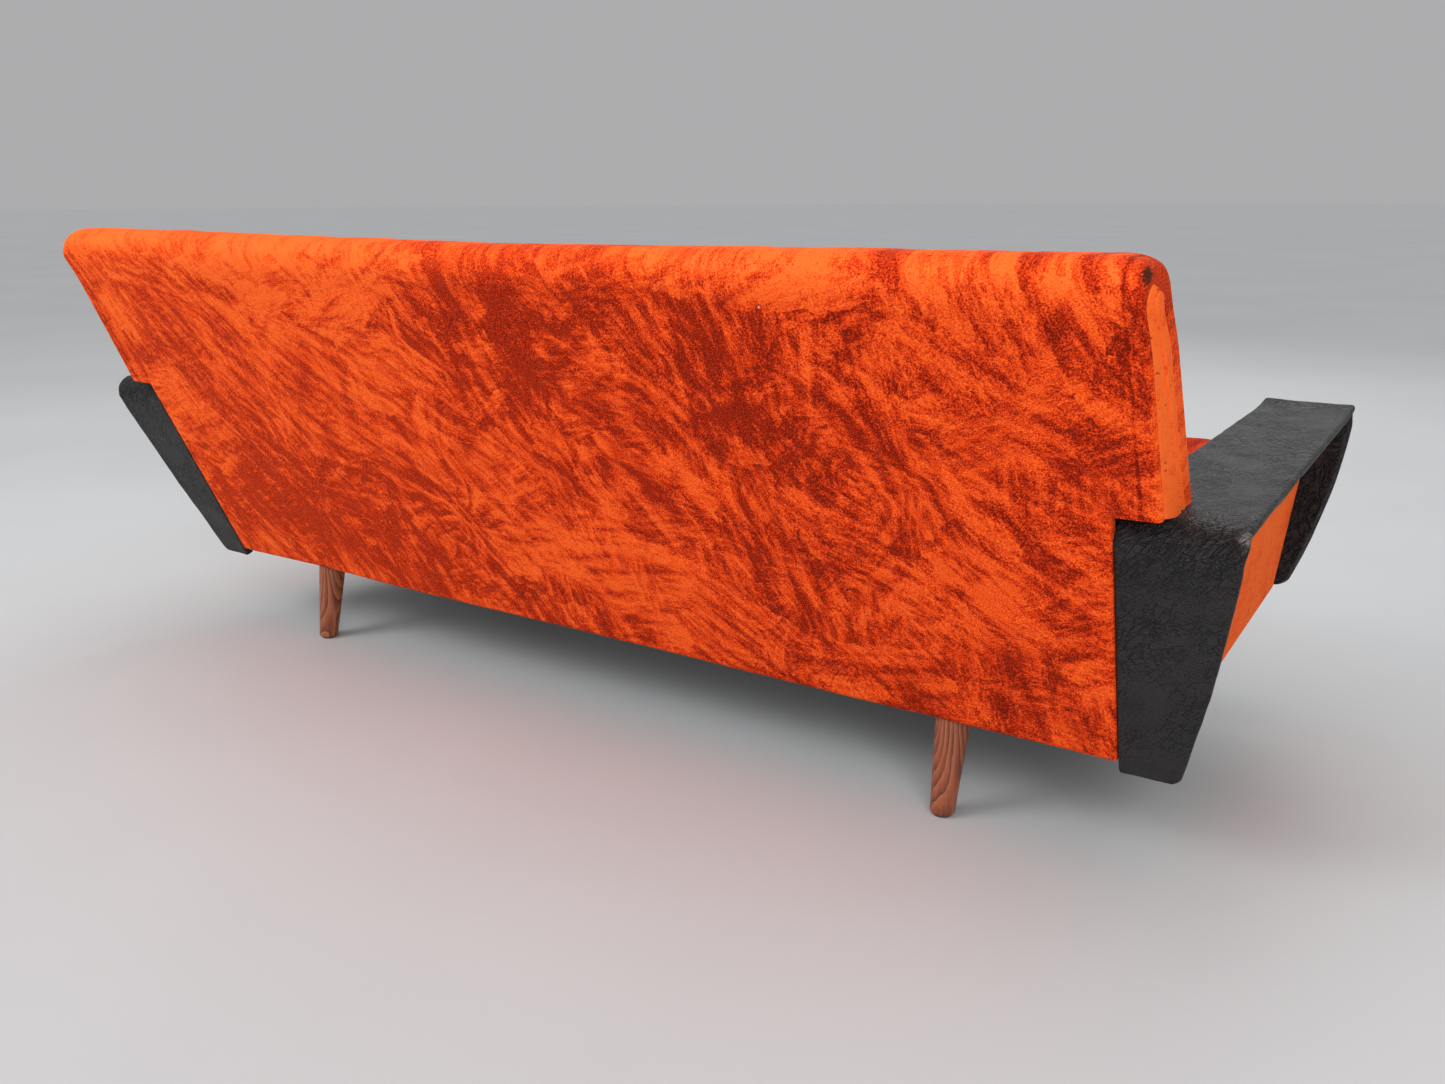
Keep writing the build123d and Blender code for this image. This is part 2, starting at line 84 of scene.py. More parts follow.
def back_line(depth):
    return back_point(depth, 0), np.array([math.sin(LEAN), math.cos(LEAN)])


def front_line(forward):
    return seat_point(forward, 0), np.array([math.sin(RAKE), math.cos(RAKE)])


def seat_line(up):
    return seat_point(0, up), np.array([-math.cos(RAKE), math.sin(RAKE)])


def level(z):
    return np.array([0.0, z]), np.array([1.0, 0.0])


ARM_REAR = cross(back_line(0), level(ARM_REAR_HEIGHT))
ARM_FRONT = cross(front_line(BOX_DEPTH), level(ARM_FRONT_HEIGHT))
ARM_WAY = (ARM_FRONT - ARM_REAR) / np.linalg.norm(ARM_FRONT - ARM_REAR)
ARM_DOWN = np.array([-ARM_WAY[1], ARM_WAY[0]])


def arm_line(below):
    """Parallel to the arm top."""
    return ARM_REAR + below * ARM_DOWN, ARM_WAY


def inside_line(behind):
    """Parallel to the inside back, this far behind its surface."""
    base = cross(back_line(BACK_THICKNESS), (ARM_REAR, ARM_WAY))
    start = base + np.array([behind / math.cos(INSIDE_LEAN), 0])
    return start, np.array([math.sin(INSIDE_LEAN), math.cos(INSIDE_LEAN)])


# ---- small tools ----

class Noise:
    """Smooth value noise on a seeded lattice, from -1 to 1."""

    def __init__(self, seed):
        self.table = np.random.default_rng(seed).random((32, 32, 32)) * 2 - 1

    def __call__(self, points, size):
        cell = np.asarray(points, float) / size + 97.3
        low = np.floor(cell).astype(int)
        part = cell - low
        part = part * part * (3 - 2 * part)
        total = 0
        for corner in range(8):
            bits = np.array([corner & 1, corner >> 1 & 1, corner >> 2 & 1])
            index = (low + bits) % 32
            weight = np.prod(np.where(bits, part, 1 - part), axis=-1)
            total = total + weight * self.table[index[..., 0], index[..., 1], index[..., 2]]
        return total


def smoothstep(low, high, value):
    part = np.clip((np.asarray(value, float) - low) / (high - low), 0, 1)
    return part * part * (3 - 2 * part)


def grid_object(name, grid, wrap=False, flip=False, caps=False):
    """A mesh from a (rows, columns, 3) array; wrap joins its sides, caps closes its end rings."""
    rows, columns = grid.shape[:2]
    faces = []
    for low in range(0, (rows - 1) * columns, columns):
        for j in range(columns if wrap else columns - 1):
            k = (j + 1) % columns
            quad = [low + j, low + k, low + columns + k, low + columns + j]
            faces.append(quad[::-1] if flip else quad)
    if caps:
        faces.append(list(range(columns))[::-1])
        faces.append(list(range((rows - 1) * columns, rows * columns)))
    mesh = bpy.data.meshes.new(name)
    mesh.from_pydata([tuple(point) for point in grid.reshape(-1, 3)], [], faces)
    mesh.validate()
    mesh.polygons.foreach_set("use_smooth", [True] * len(mesh.polygons))
    piece = bpy.data.objects.new(name, mesh)
    bpy.context.collection.objects.link(piece)
    return piece


def points_of(piece, what="co"):
    """Each vertex's place, or its normal."""
    flat = np.empty(len(piece.data.vertices) * 3)
    piece.data.vertices.foreach_get(what, flat)
    return flat.reshape(-1, 3)


def set_points(piece, points):
    piece.data.vertices.foreach_set("co", np.ascontiguousarray(points).ravel())
    piece.data.update()


def push(piece, amount):
    """Moves every vertex along its normal."""
    set_points(piece, points_of(piece) + points_of(piece, "normal") * np.asarray(amount)[:, None])


def mirrored(piece, name):
    """A copy on the other side of x = 0."""
    twin = piece.copy()
    twin.data = piece.data.copy()
    twin.name = twin.data.name = name
    bpy.context.collection.objects.link(twin)
    points = points_of(twin)
    points[:, 0] *= -1
    set_points(twin, points)
    twin.data.flip_normals()
    return twin


def apply_modifiers(piece):
    graph = bpy.context.evaluated_depsgraph_get()
    mesh = bpy.data.meshes.new_from_object(piece.evaluated_get(graph))
    piece.modifiers.clear()
    old, piece.data = piece.data, mesh
    bpy.data.meshes.remove(old)
    mesh.name = piece.name


def arc_corner(before, here, after, radius, steps):
    """The points of an arc that rounds one corner."""
    a = (before - here) / np.linalg.norm(before - here)
    b = (after - here) / np.linalg.norm(after - here)
    half = math.acos(np.clip(a @ b, -1, 1)) / 2
    centre = here + (a + b) / np.linalg.norm(a + b) * radius / math.sin(half)
    start, end = (here + way * radius / math.tan(half) - centre for way in (a, b))
    side = math.copysign(1, start[0] * end[1] - start[1] * end[0])
    points = []
    for k in range(steps):
        angle = side * (math.pi - 2 * half) * k / (steps - 1)
        c, s = math.cos(angle), math.sin(angle)
        points.append(centre + np.array([c * start[0] - s * start[1], s * start[0] + c * start[1]]))
    return points


def rounded(corners, radii, closed=False, steps=12):
    """A line through corners, each rounded by its radius; the ends of an open line stay sharp."""
    line = []
    count = len(corners)
    for i, (corner, radius) in enumerate(zip(corners, radii)):
        if radius == 0 or (not closed and i in (0, count - 1)):
            line.append(corner)
        else:
            line.extend(arc_corner(corners[i - 1], corner, corners[(i + 1) % count], radius, steps))
    return np.array(line)


def lengths_along(line):
    return np.r_[0, np.cumsum(np.linalg.norm(np.diff(line, axis=0), axis=1))]


def resampled(line, spacing, closed=False, count=None):
    """Even points along a line of points, at a spacing, or a count of them on a closed line."""
    line = np.asarray(line)
    if closed:
        line = np.vstack([line, line[:1]])
    lengths = lengths_along(line)
    steps = count or max(1, int(round(lengths[-1] / spacing)))
    at = np.linspace(0, lengths[-1], steps + 1)
    even = np.stack([np.interp(at, lengths, line[:, k]) for k in range(line.shape[1])], -1)
    return even[:-1] if closed else even


def tube(name, line, radius, closed=False, sides=10):
    """A round cord along a line of points."""
    line = np.asarray(line, float)
    ahead = np.roll(line, -1, 0) - np.roll(line, 1, 0)
    if not closed:
        ahead[0], ahead[-1] = line[1] - line[0], line[-1] - line[-2]
    ahead /= np.linalg.norm(ahead, axis=1)[:, None]
    normal = np.cross(ahead[0], [0.31, 0.23, 0.92])
    rings = []
    for point, direction in zip(line, ahead):
        normal = normal - direction * (normal @ direction)
        normal /= np.linalg.norm(normal)
        other = np.cross(direction, normal)
        angles = np.arange(sides) * 2 * math.pi / sides
        rings.append(point + radius * (np.cos(angles)[:, None] * normal + np.sin(angles)[:, None] * other))
    if closed:
        rings.append(rings[0])
    return grid_object(name, np.array(rings), wrap=True, caps=not closed)


def finish_piece(piece, body, slot, material, *nodes):
    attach(piece, body)
    if nodes:
        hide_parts(*nodes)
    piece.data.materials.clear()
    piece.data.materials.append(material)
    return piece


# ---- materials ----

class Tree:
    """Adds nodes to a material and links them."""

    def __init__(self, name):
        self.material = bpy.data.materials.new(name)
        self.material.use_nodes = True
        self.tree = self.material.node_tree
        self.tree.nodes.clear()

    def add(self, kind, inputs, **settings):
        node = self.tree.nodes.new("ShaderNode" + kind)
        for key, value in settings.items():
            setattr(node, key, value)
        for key, value in inputs.items():
            if isinstance(value, bpy.types.NodeSocket):
                self.tree.links.new(value, node.inputs[key])
            else:
                node.inputs[key].default_value = value
        return node

    def math(self, operation, first, second=0.0):
        return self.add("Math", {0: first, 1: second}, operation=operation).outputs[0]

    def plus(self, first, second):
        return self.math("ADD", first, second)

    def minus(self, first, second):
        return self.math("SUBTRACT", first, second)

    def times(self, first, second):
        return self.math("MULTIPLY", first, second)

    def off_by(self, value, middle=0.5):
        """How far a value is from the middle, either way."""
        return self.math("ABSOLUTE", self.minus(value, middle))

    def vector(self, operation, first, second):
        return self.add("VectorMath", {0: first, 1: second}, operation=operation).outputs[0]

    def length(self, vector):
        return self.add("VectorMath", {0: vector}, operation="LENGTH").outputs["Value"]

    def noise(self, place, scale, detail=3.0, roughness=0.5, distortion=0.0, output="Fac"):
        inputs = {"Vector": place, "Scale": scale, "Detail": detail, "Roughness": roughness,
                  "Distortion": distortion}
        return self.add("TexNoise", inputs).outputs[output]

    def stretch(self, place, scale, turn=(0, 0, 0)):
        return self.add("Mapping", {"Vector": place, "Rotation": turn, "Scale": scale}).outputs[0]

    def remap(self, value, low, high, to_low=0.0, to_high=1.0):
        inputs = {"Value": value, "From Min": low, "From Max": high, "To Min": to_low, "To Max": to_high}
        return self.add("MapRange", inputs, clamp=True).outputs[0]

    def ramp(self, value, stops):
        node = self.add("ValToRGB", {"Fac": value})
        elements = node.color_ramp.elements
        while len(elements) < len(stops):
            elements.new(0.5)
        for element, (place, colour) in zip(elements, stops):
            element.position = place
            element.color = (*colour, 1)
        return node.outputs["Color"]

    def mix(self, share, first, second):
        return self.add("Mix", {0: share, 6: first, 7: second}, data_type="RGBA").outputs[2]

    def bump(self, height, distance, strength=1.0, under=None):
        inputs = {"Height": height, "Distance": distance, "Strength": strength}
        if under is not None:
            inputs["Normal"] = under
        return self.add("Bump", inputs).outputs[0]

    def place(self):
        return self.add("TexCoord", {}).outputs["Object"]

    def finish(self, inputs):
        shader = self.add("BsdfPrincipled", inputs)
        self.add("OutputMaterial", {"Surface": shader.outputs[0]})
        return self.material


VELVET_DARK, VELVET_DEEP = (0.165, 0.0070, 0.0010), (0.35, 0.0160, 0.0020)
VELVET_MID, VELVET_BRIGHT, VELVET_PALE = (0.64, 0.040, 0.0050), (0.90, 0.090, 0.011), (0.98, 0.150, 0.022)
SCUFF, SPECK = (0.060, 0.014, 0.007), (0.75, 0.72, 0.66)
MIDDLE = (0.5, 0.5, 0.5)            # of a noise's colour
APART = (9.0, 9.0, 9.0)             # sets the noise of one patch apart from the next one's
STREAK_MIDDLE, STREAK_BELOW, STREAK_ABOVE = 1.79, 0.15, 0.17
PAINTED_HIGHLIGHT_BAND = (0.690, 0.735)           # painted highlight: the colour is lifted between these heights, where the upturned pile catches the light from above


def shifted(tree, place, seed):
    return tree.vector("ADD", place, (seed * 3.7, seed * 1.9, seed * 0.7))


def patches(tree, place, cell, seed):
    """Ragged patches: coordinates from each patch's own centre, and a random colour for each."""
    moved = shifted(tree, place, seed)
    wander = tree.noise(moved, 5.0 / cell, 3.0, 0.6, 0.0, "Color")
    wander = tree.vector("MULTIPLY", tree.vector("SUBTRACT", wander, MIDDLE), (cell * 0.45,) * 3)
    cells = tree.add("TexVoronoi", {"Vector": tree.vector("ADD", moved, wander), "Scale": 1 / cell},
                     voronoi_dimensions="2D")
    local = tree.vector("SUBTRACT", moved, cells.outputs["Position"])
    local = tree.vector("MULTIPLY", local, (1.0, 1.0, 0.0))
    return local, cells.outputs["Color"]


def combed(tree, place, cell, width, stretch, seed, low=-1.7, high=0.5):
    """Patches of straight streaks, each patch combed its own way, between two angles."""
    local, colour = patches(tree, place, cell, seed)
    share = tree.add("SeparateColor", {"Color": colour}).outputs[0]
    turned = tree.add("VectorRotate", {"Vector": local, "Axis": (0, 0, 1),
                                       "Angle": tree.remap(share, 0.0, 1.0, low, high)},
                      rotation_type="AXIS_ANGLE").outputs[0]
    streaks = tree.vector("ADD", tree.stretch(turned, (1.0 / stretch, 1.0, 1.0)),
                          tree.vector("MULTIPLY", colour, APART))
    return tree.noise(streaks, 1.0 / width, 3.0, 0.58), share


def fans(tree, place, cell, rays, seed):
    """Streaks that spread from the middle of each patch."""
    local, colour = patches(tree, place, cell, seed)
    bend = tree.vector("SUBTRACT", tree.noise(place, 2.4 / cell, 2.0, 0.5, 0.0, "Color"), MIDDLE)
    local = tree.vector("ADD", local, tree.vector("MULTIPLY", bend, (cell * 0.5, cell * 0.5, 0.0)))
    reach = tree.length(local)
    way = tree.add("VectorMath", {0: local}, operation="NORMALIZE").outputs["Vector"]
    spread = tree.vector("MULTIPLY", way, (rays, rays, 0.0))
    outward = tree.add("CombineXYZ", {"Z": tree.times(reach, 2.6 / cell)}).outputs[0]
    spread = tree.vector("ADD", spread, outward)
    spread = tree.vector("ADD", spread, tree.vector("MULTIPLY", colour, APART))
    streaks = tree.minus(tree.noise(spread, 1.0, 3.0, 0.6), 0.5)
    where = tree.noise(shifted(tree, place, seed + 4), 1.6 / cell, 1.0)
    strength = tree.remap(reach, cell * 0.03, cell * 0.16)
    strength = tree.times(strength, tree.remap(where, 0.42, 0.60, 0.15, 1.0))
    return tree.plus(tree.times(streaks, strength), 0.5)


def velvet(name, turn, light, contrast=1.0, flecks=0.0, marks=(), stitched=False):
    """Burnt-orange crushed velvet; turn brings the cloth's normal onto the third axis, and light is painted
    light that lifts the whole copy's colour to stand in for how brightly its faces are lit.
    """
    tree = Tree(name)
    place = tree.stretch(tree.place(), (1, 1, 1), turn)
    large, patch = combed(tree, place, 0.190, 0.020, 5.0, 1)
    middle, _ = combed(tree, place, 0.075, 0.0085, 4.5, 2)
    small, _ = combed(tree, place, 0.030, 0.0032, 3.0, 3, -2.4, 0.7)
    rays = fans(tree, place, 0.36, 4.2, 5)
    broad = tree.noise(shifted(tree, place, 8), 2.6, 2.0, 0.5)
    pile = tree.noise(place, 520.0, 1.0, 0.6)
    value = tree.times(large, 0.80)
    weights = ((middle, 0.62), (small, 0.34), (rays, 1.10), (patch, 0.10), (broad, 0.55), (pile, 0.10))
    for part, weight in weights:
        value = tree.plus(value, tree.times(part, weight))
    low, high = STREAK_MIDDLE - STREAK_BELOW / contrast, STREAK_MIDDLE + STREAK_ABOVE / contrast
    value = tree.remap(value, low, high)
    # painted light: the light argument lifts this copy's colour for how brightly its faces are lit
    value = tree.plus(tree.times(value, 0.68), light + 0.13)
    spot = tree.add("SeparateXYZ", {"Vector": tree.place()})
    # partly painted light: the colour brightens towards +x, standing in for the key light on that side, with
    # part of it from the pile's direction
    value = tree.plus(value, tree.remap(spot.outputs[0], -0.75, 0.95, -0.05, 0.20))
    # painted highlight: lighter along the top roll of the back
    value = tree.plus(value, tree.remap(spot.outputs[2], *PAINTED_HIGHLIGHT_BAND, 0.0, 0.24))
    side = tree.math("ABSOLUTE", spot.outputs[0])
    # painted light: the end faces are made brighter than the rest of the velvet
    end_painted_light = tree.remap(side, BACK_HALF_TOP - 0.001, BACK_HALF_TOP + 0.005, 0.0, 0.24)
    value = tree.plus(value, end_painted_light)
    # painted shade: the colour is darkened along the crease lines of the middle streaks, where the broad
    # noise is high
    crease = tree.off_by(middle)
    crease = tree.times(tree.remap(crease, 0.0, 0.022, 1.0, 0.0), tree.remap(broad, 0.46, 0.56))
    value = tree.minus(value, tree.times(crease, 0.16 * contrast))
    if stitched:
        line = tree.minus(side, tree.remap(spot.outputs[2], ARM_REAR_HEIGHT, BACK_HEIGHT,
                                           BACK_HALF_LOW - STITCH_IN, BACK_HALF_TOP - STITCH_IN))
        line = tree.remap(tree.math("ABSOLUTE", line), 0.0006, 0.0030, 1.0, 0.0)
        line = tree.times(line, tree.remap(spot.outputs[2], ARM_REAR_HEIGHT, ARM_REAR_HEIGHT + 0.004))
        value = tree.minus(value, tree.times(line, 0.26))
    grain = tree.times(tree.minus(pile, 0.5), 1.50)
    colour = tree.ramp(tree.plus(value, grain),
                       [(0.0, VELVET_DARK), (0.22, VELVET_DEEP), (0.46, VELVET_MID), (0.78, VELVET_BRIGHT),
                        (1.0, VELVET_PALE)])
    if flecks:
        thin = tree.stretch(place, (1.0, 0.30, 1.0))
        spots = tree.add("TexVoronoi", {"Vector": thin, "Scale": 150.0}).outputs["Distance"]
        mask = tree.times(tree.remap(spots, 0.10, 0.24, 1.0, 0.0),
                          tree.remap(tree.noise(place, 60.0, 2.0), 0.50, 0.60))
        colour = tree.mix(tree.times(mask, flecks), colour, (*VELVET_DARK, 1))
    for centre, size, shade in marks:
        offset = tree.vector("SUBTRACT", place, tree.stretch(centre, (1, 1, 1), turn))
        offset = tree.vector("MULTIPLY", offset, (1.0, 1.0, 0.5))
        away = tree.length(offset)
        ragged = tree.minus(tree.noise(place, 420.0, 3.0), 0.5)
        away = tree.plus(away, tree.times(ragged, size * 1.6))
        colour = tree.mix(tree.remap(away, size * 0.7, size, 1.0, 0.0), colour, (*shade, 1))
    nap = tree.bump(pile, 0.0007, 0.6)
    creases = tree.plus(tree.times(middle, 0.55), tree.times(small, 0.25))
    creases = tree.plus(creases, tree.times(rays, 0.35))
    normal = tree.bump(creases, 0.006, 0.5, nap)
    return tree.finish({"Base Color": colour, "Roughness": 0.9, "Normal": normal, "Sheen Weight": 0.22,
                        "Sheen Roughness": 0.4, "Sheen Tint": (1.0, 0.20, 0.05, 1),
                        "Specular IOR Level": 0.08})


def wrinkles(tree, place, size, sharp, spots):
    """Fine lines along which a coat has folded, 1 in the fold, over some of the surface."""
    wave = tree.noise(place, 1.0 / size, 2.0, 0.55, 0.25)
    line = tree.remap(tree.off_by(wave), 0.0, sharp, 1.0, 0.0)
    return tree.times(line, spots)


CREASE_SLANT = 0.7                     # radians from upright, on the rear wing


def leatherette(name):
    """Black vinyl: pebbled grain, a dull gloss, creases crowded at the rear bend and front wing."""
    tree = Tree(name)
    place = tree.place()
    wander = tree.noise(place, 30.0, 2.0, 0.5, 0.0, "Color")
    bent = tree.vector("ADD", place, tree.vector("MULTIPLY", wander, (0.016, 0.016, 0.016)))
    pebbles = tree.add("TexVoronoi", {"Vector": bent, "Scale": 330.0}, feature="DISTANCE_TO_EDGE")
    grain = tree.remap(pebbles.outputs["Distance"], 0.0, 0.20)
    from_bend = tree.vector("MULTIPLY", tree.vector("SUBTRACT", place, (0.0, *ARM_REAR)), (0.0, 1.0, 1.0))
    near = tree.length(from_bend)
    near = tree.remap(near, 0.015, 0.120, 1.0, 0.0)
    spot = tree.add("SeparateXYZ", {"Vector": place})
    wing = tree.times(tree.remap(spot.outputs[1], ARM_FRONT[0] + 0.12, ARM_FRONT[0] + 0.08),
                      tree.remap(spot.outputs[2], ARM_FRONT_HEIGHT - 0.02, ARM_FRONT_HEIGHT - 0.04))
    crowded = tree.math("MAXIMUM", near, wing)
    patchy = tree.remap(tree.noise(place, 16.0, 3.0), 0.40, 0.60, 0.12, 0.75)
    spots = tree.math("MAXIMUM", patchy, crowded)
    gently = tree.vector("ADD", place, tree.vector("MULTIPLY", wander, (0.007, 0.007, 0.007)))
    aslant = tree.stretch(gently, (1.0, 1.0, 1.0), (0.0, CREASE_SLANT, 0.0))
    slanted = tree.stretch(aslant, (1.0, 0.6, 0.28))
    across = tree.stretch(gently, (0.42, 1.0, 0.9), (0.0, 0.0, -0.25))
    folds = tree.math("MAXIMUM", wrinkles(tree, slanted, 0.012, 0.042, spots),
                      wrinkles(tree, across, 0.011, 0.034, spots))
    rear_deep = wrinkles(tree, tree.stretch(aslant, (1.0, 0.5, 0.24)), 0.017, 0.036, near)
    wing_deep = wrinkles(tree, tree.stretch(bent, (1.0, 0.30, 0.30), (0.0, 0.0, 0.9)), 0.034, 0.030, wing)
    deep = tree.math("MAXIMUM", rear_deep, wing_deep)
    cloudy = tree.noise(place, 14.0, 4.0, 0.6)
    colour = tree.ramp(cloudy, [(0.3, (0.0170, 0.0155, 0.0163)), (0.7, (0.0285, 0.0258, 0.0267))])
    # painted shade: the colour darkens towards near black in the fold lines
    colour = tree.mix(tree.times(folds, 0.30), colour, (0.0030, 0.0028, 0.0030, 1))
    away = tree.length(tree.vector("SUBTRACT", place, WORN_CORNER))
    ragged = tree.minus(tree.noise(place, 240.0, 3.0, 0.7), 0.5)
    worn = tree.remap(tree.plus(away, tree.times(ragged, 0.022)), 0.0035, 0.0095, 1.0, 0.0)
    colour = tree.mix(tree.times(worn, 0.8), colour, (0.22, 0.19, 0.175, 1))
    rough = tree.remap(tree.noise(place, 25.0, 3.0), 0.3, 0.7, 0.38, 0.52)
    rough = tree.minus(rough, tree.times(wing, 0.10))
    relief = tree.minus(1.0, tree.math("MAXIMUM", tree.times(folds, 0.75), deep))
    fine = tree.bump(grain, 0.0012, 0.7)
    normal = tree.bump(relief, 0.0050, 1.0, fine)
    return tree.finish({"Base Color": colour, "Roughness": rough, "Normal": normal,
                        "Specular IOR Level": 0.22})


def leg_timber(name, centre):
    """Walnut cut aslant the growth rings, so that they show as nested tongues along the leg."""
    tree = Tree(name)
    place = tree.place()
    heart = tree.vector("SUBTRACT", place, (centre[0] + 0.013, centre[1] + 0.010, centre[2] + 0.02))
    trunk = tree.stretch(heart, (1.0, 1.0, 1.0), (0.105, -0.085, 0.0))
    warp = tree.noise(tree.stretch(place, (1.0, 1.0, 0.25)), 26.0, 3.0, 0.55, 0.0, "Color")
    warp = tree.vector("SUBTRACT", warp, MIDDLE)
    trunk = tree.vector("ADD", trunk, tree.vector("MULTIPLY", warp, (0.011, 0.011, 0.0)))
    rings = tree.add("TexWave", {"Vector": trunk, "Scale": 58.0, "Distortion": 0.8, "Detail": 2.0,
                                 "Detail Scale": 1.5}, wave_type="RINGS", rings_direction="Z",
                     wave_profile="SAW").outputs["Fac"]
    pores = tree.noise(tree.stretch(place, (1.0, 1.0, 0.035)), 1700.0, 2.0, 0.7)
    streaks = tree.noise(tree.stretch(place, (1.0, 1.0, 0.06)), 220.0, 3.0, 0.6)
    value = tree.plus(tree.times(rings, 0.55), tree.times(streaks, 0.50))
    value = tree.minus(value, tree.times(tree.remap(pores, 0.56, 0.72), 0.26))
    colour = tree.ramp(value, [(0.12, (0.400, 0.125, 0.050)), (0.50, (0.260, 0.065, 0.025)),
                               (0.82, (0.070, 0.016, 0.008))])
    normal = tree.bump(tree.minus(1.0, tree.remap(pores, 0.5, 0.8)), 0.0003, 0.3)
    return tree.finish({"Base Color": colour, "Roughness": 0.34, "Normal": normal,
                        "Specular IOR Level": 0.45})


def wood(name, light, dark, scale, rough, along):
    """Timber with rings drawn out along the grain, pores and slow colour change."""
    tree = Tree(name)
    place = tree.place()
    grain = tree.stretch(place, along)
    warp = tree.noise(grain, 22.0 * scale, 2.0, 0.5, 0.0, "Color")
    bent = tree.vector("ADD", grain, tree.vector("MULTIPLY", warp, (0.030 / scale,) * 3))
    rings = tree.add("TexWave", {"Vector": bent, "Scale": 62.0 * scale, "Distortion": 5.0, "Detail": 2.5,
                                 "Detail Scale": 1.2}, wave_type="RINGS", rings_direction="Z").outputs["Fac"]
    pores = tree.noise(tree.stretch(place, (1.0, 1.0, 0.03)), 1500.0 * scale, 2.0, 0.7)
    cloudy = tree.noise(grain, 30.0 * scale, 3.0)
    value = tree.plus(tree.times(rings, 0.50), tree.times(cloudy, 0.50))
    value = tree.minus(value, tree.times(tree.remap(pores, 0.56, 0.72), 0.30))
    between = tuple((a + b) / 2 for a, b in zip(light, dark))
    colour = tree.ramp(value, [(0.12, dark), (0.45, between), (0.8, light)])
    normal = tree.bump(tree.minus(1.0, tree.remap(pores, 0.5, 0.8)), 0.0003, 0.35)
    return tree.finish({"Base Color": colour, "Roughness": rough, "Normal": normal,
                        "Specular IOR Level": 0.5})


def cloth(name, colour, shade, pitch=0.0016, rough=0.9):
    """A plain weave of two thread directions."""
    tree = Tree(name)
    place = tree.place()
    thread = {"Vector": place, "Scale": 0.314 / pitch, "Distortion": 0.6, "Detail": 1.0}
    waves = [tree.add("TexWave", thread, wave_type="BANDS", bands_direction=way).outputs["Fac"]
             for way in "XY"]
    weave = tree.math("MAXIMUM", *waves)
    cloudy = tree.noise(place, 11.0, 4.0, 0.6)
    value = tree.plus(tree.times(weave, 0.4), tree.times(cloudy, 0.7))
    normal = tree.bump(weave, 0.0005, 0.6)
    return tree.finish({"Base Color": tree.ramp(value, [(0.25, shade), (0.8, colour)]), "Roughness": rough,
                        "Normal": normal, "Specular IOR Level": 0.2})


def rough_matter(name, colour, shade, size, rough, metallic=0.0):
    """Foam, metal or plastic with a mottled surface of one grain size."""
    tree = Tree(name)
    place = tree.place()
    mottle = tree.noise(place, 1.0 / size, 4.0, 0.65)
    normal = tree.bump(mottle, size * 0.2, 0.4)
    return tree.finish({"Base Color": tree.ramp(mottle, [(0.3, shade), (0.7, colour)]), "Roughness": rough,
                        "Normal": normal, "Metallic": metallic})


# ---- upholstered back: one skin from under the rear rail, over the top and down the front ----

BACK_HALF_LOW, BACK_HALF_TOP = 0.933, 0.925
PANEL_LOW, PANEL_HIGH = 0.8655, 0.8792
STITCH_IN = 0.021
CLEAR_HALF = 0.8625         # between the arm linings
STEP = 0.0055
WRAP = 0.027                # the front cover turns this far round each end
BACK_RADII = [0, 0.005, 0.030, 0.033, 0]
HOOD_REACH, HOOD_DROP, TOP_SAG = 0.042, 0.020, 0.006
FABRIC = Noise(4)


def back_path():
    """The side-view line of the skin, from the rear rail's underside to the deck."""
    corners = [seat_point(0.048, 0.0005), back_point(0, 0), cross(back_line(0), level(BACK_HEIGHT)),
               cross(level(BACK_HEIGHT), inside_line(0)), cross(inside_line(0), seat_line(DECK + 0.002))]
    return resampled(rounded(corners, BACK_RADII, steps=14), STEP)


def split_at(line, cuts, gap=0.0004):
    """Adds two close points on each side of every place where the line crosses a cut."""
    out = [line[0]]
    for a, b in zip(line[:-1], line[1:]):
        for point, way in cuts:
            side = [(p[0] - point[0]) * way[1] - (p[1] - point[1]) * way[0] for p in (a, b)]
            if side[0] * side[1] < 0:
                here = a + (b - a) * side[0] / (side[0] - side[1])
                step = (b - a) / np.linalg.norm(b - a) * gap
                out += [here - step, here + step]
        out.append(b)
    return np.array(out)


def line_normals(line):
    """Outward normals of a side-view line that climbs the rear and comes down the front."""
    ahead = np.gradient(line, axis=0)
    ahead /= np.linalg.norm(ahead, axis=1)[:, None]
    return np.stack([ahead[:, 1], -ahead[:, 0]], -1)


def above_arm(points, gap):
    """True where a side-view point is over the arm top by more than the gap."""
    return (points - ARM_REAR) @ -ARM_DOWN > gap


def hood(x, half, z):
    """How far the skin comes down at the rounded upper corners, and sags between them."""
    near = np.clip(1 - (half - np.abs(x)) / HOOD_REACH, 0, 1)
    corner = HOOD_DROP * (1 - np.sqrt(np.clip(1 - near ** 2, 0, 1)))
    sag = TOP_SAG * np.cos(np.clip(x / half, -1, 1) * math.pi / 2) ** 2
    return (corner + sag) * smoothstep(0.655, 0.745, z)


EAR_GAP = 0.0016
SKIN = split_at(back_path(), [(ARM_REAR + np.array([0, EAR_GAP]), ARM_WAY)])
SKIN_NORMALS = line_normals(SKIN)
EARS = above_arm(SKIN, EAR_GAP - 0.00005)
PEAK = int(np.argmax(SKIN[:, 1]))


def skin_half(row):
    """Half width of the skin at a row of its side-view line."""
    y, z = SKIN[row]
    if EARS[row]:
        share = (z - ARM_REAR_HEIGHT) / (BACK_HEIGHT - ARM_REAR_HEIGHT)
        return BACK_HALF_LOW + (BACK_HALF_TOP - BACK_HALF_LOW) * share
    if row > PEAK:
        return CLEAR_HALF
    share = np.clip((z - BOTTOM) / (ARM_REAR_HEIGHT - BOTTOM), 0, 1)
    return PANEL_LOW + (PANEL_HIGH - PANEL_LOW) * share


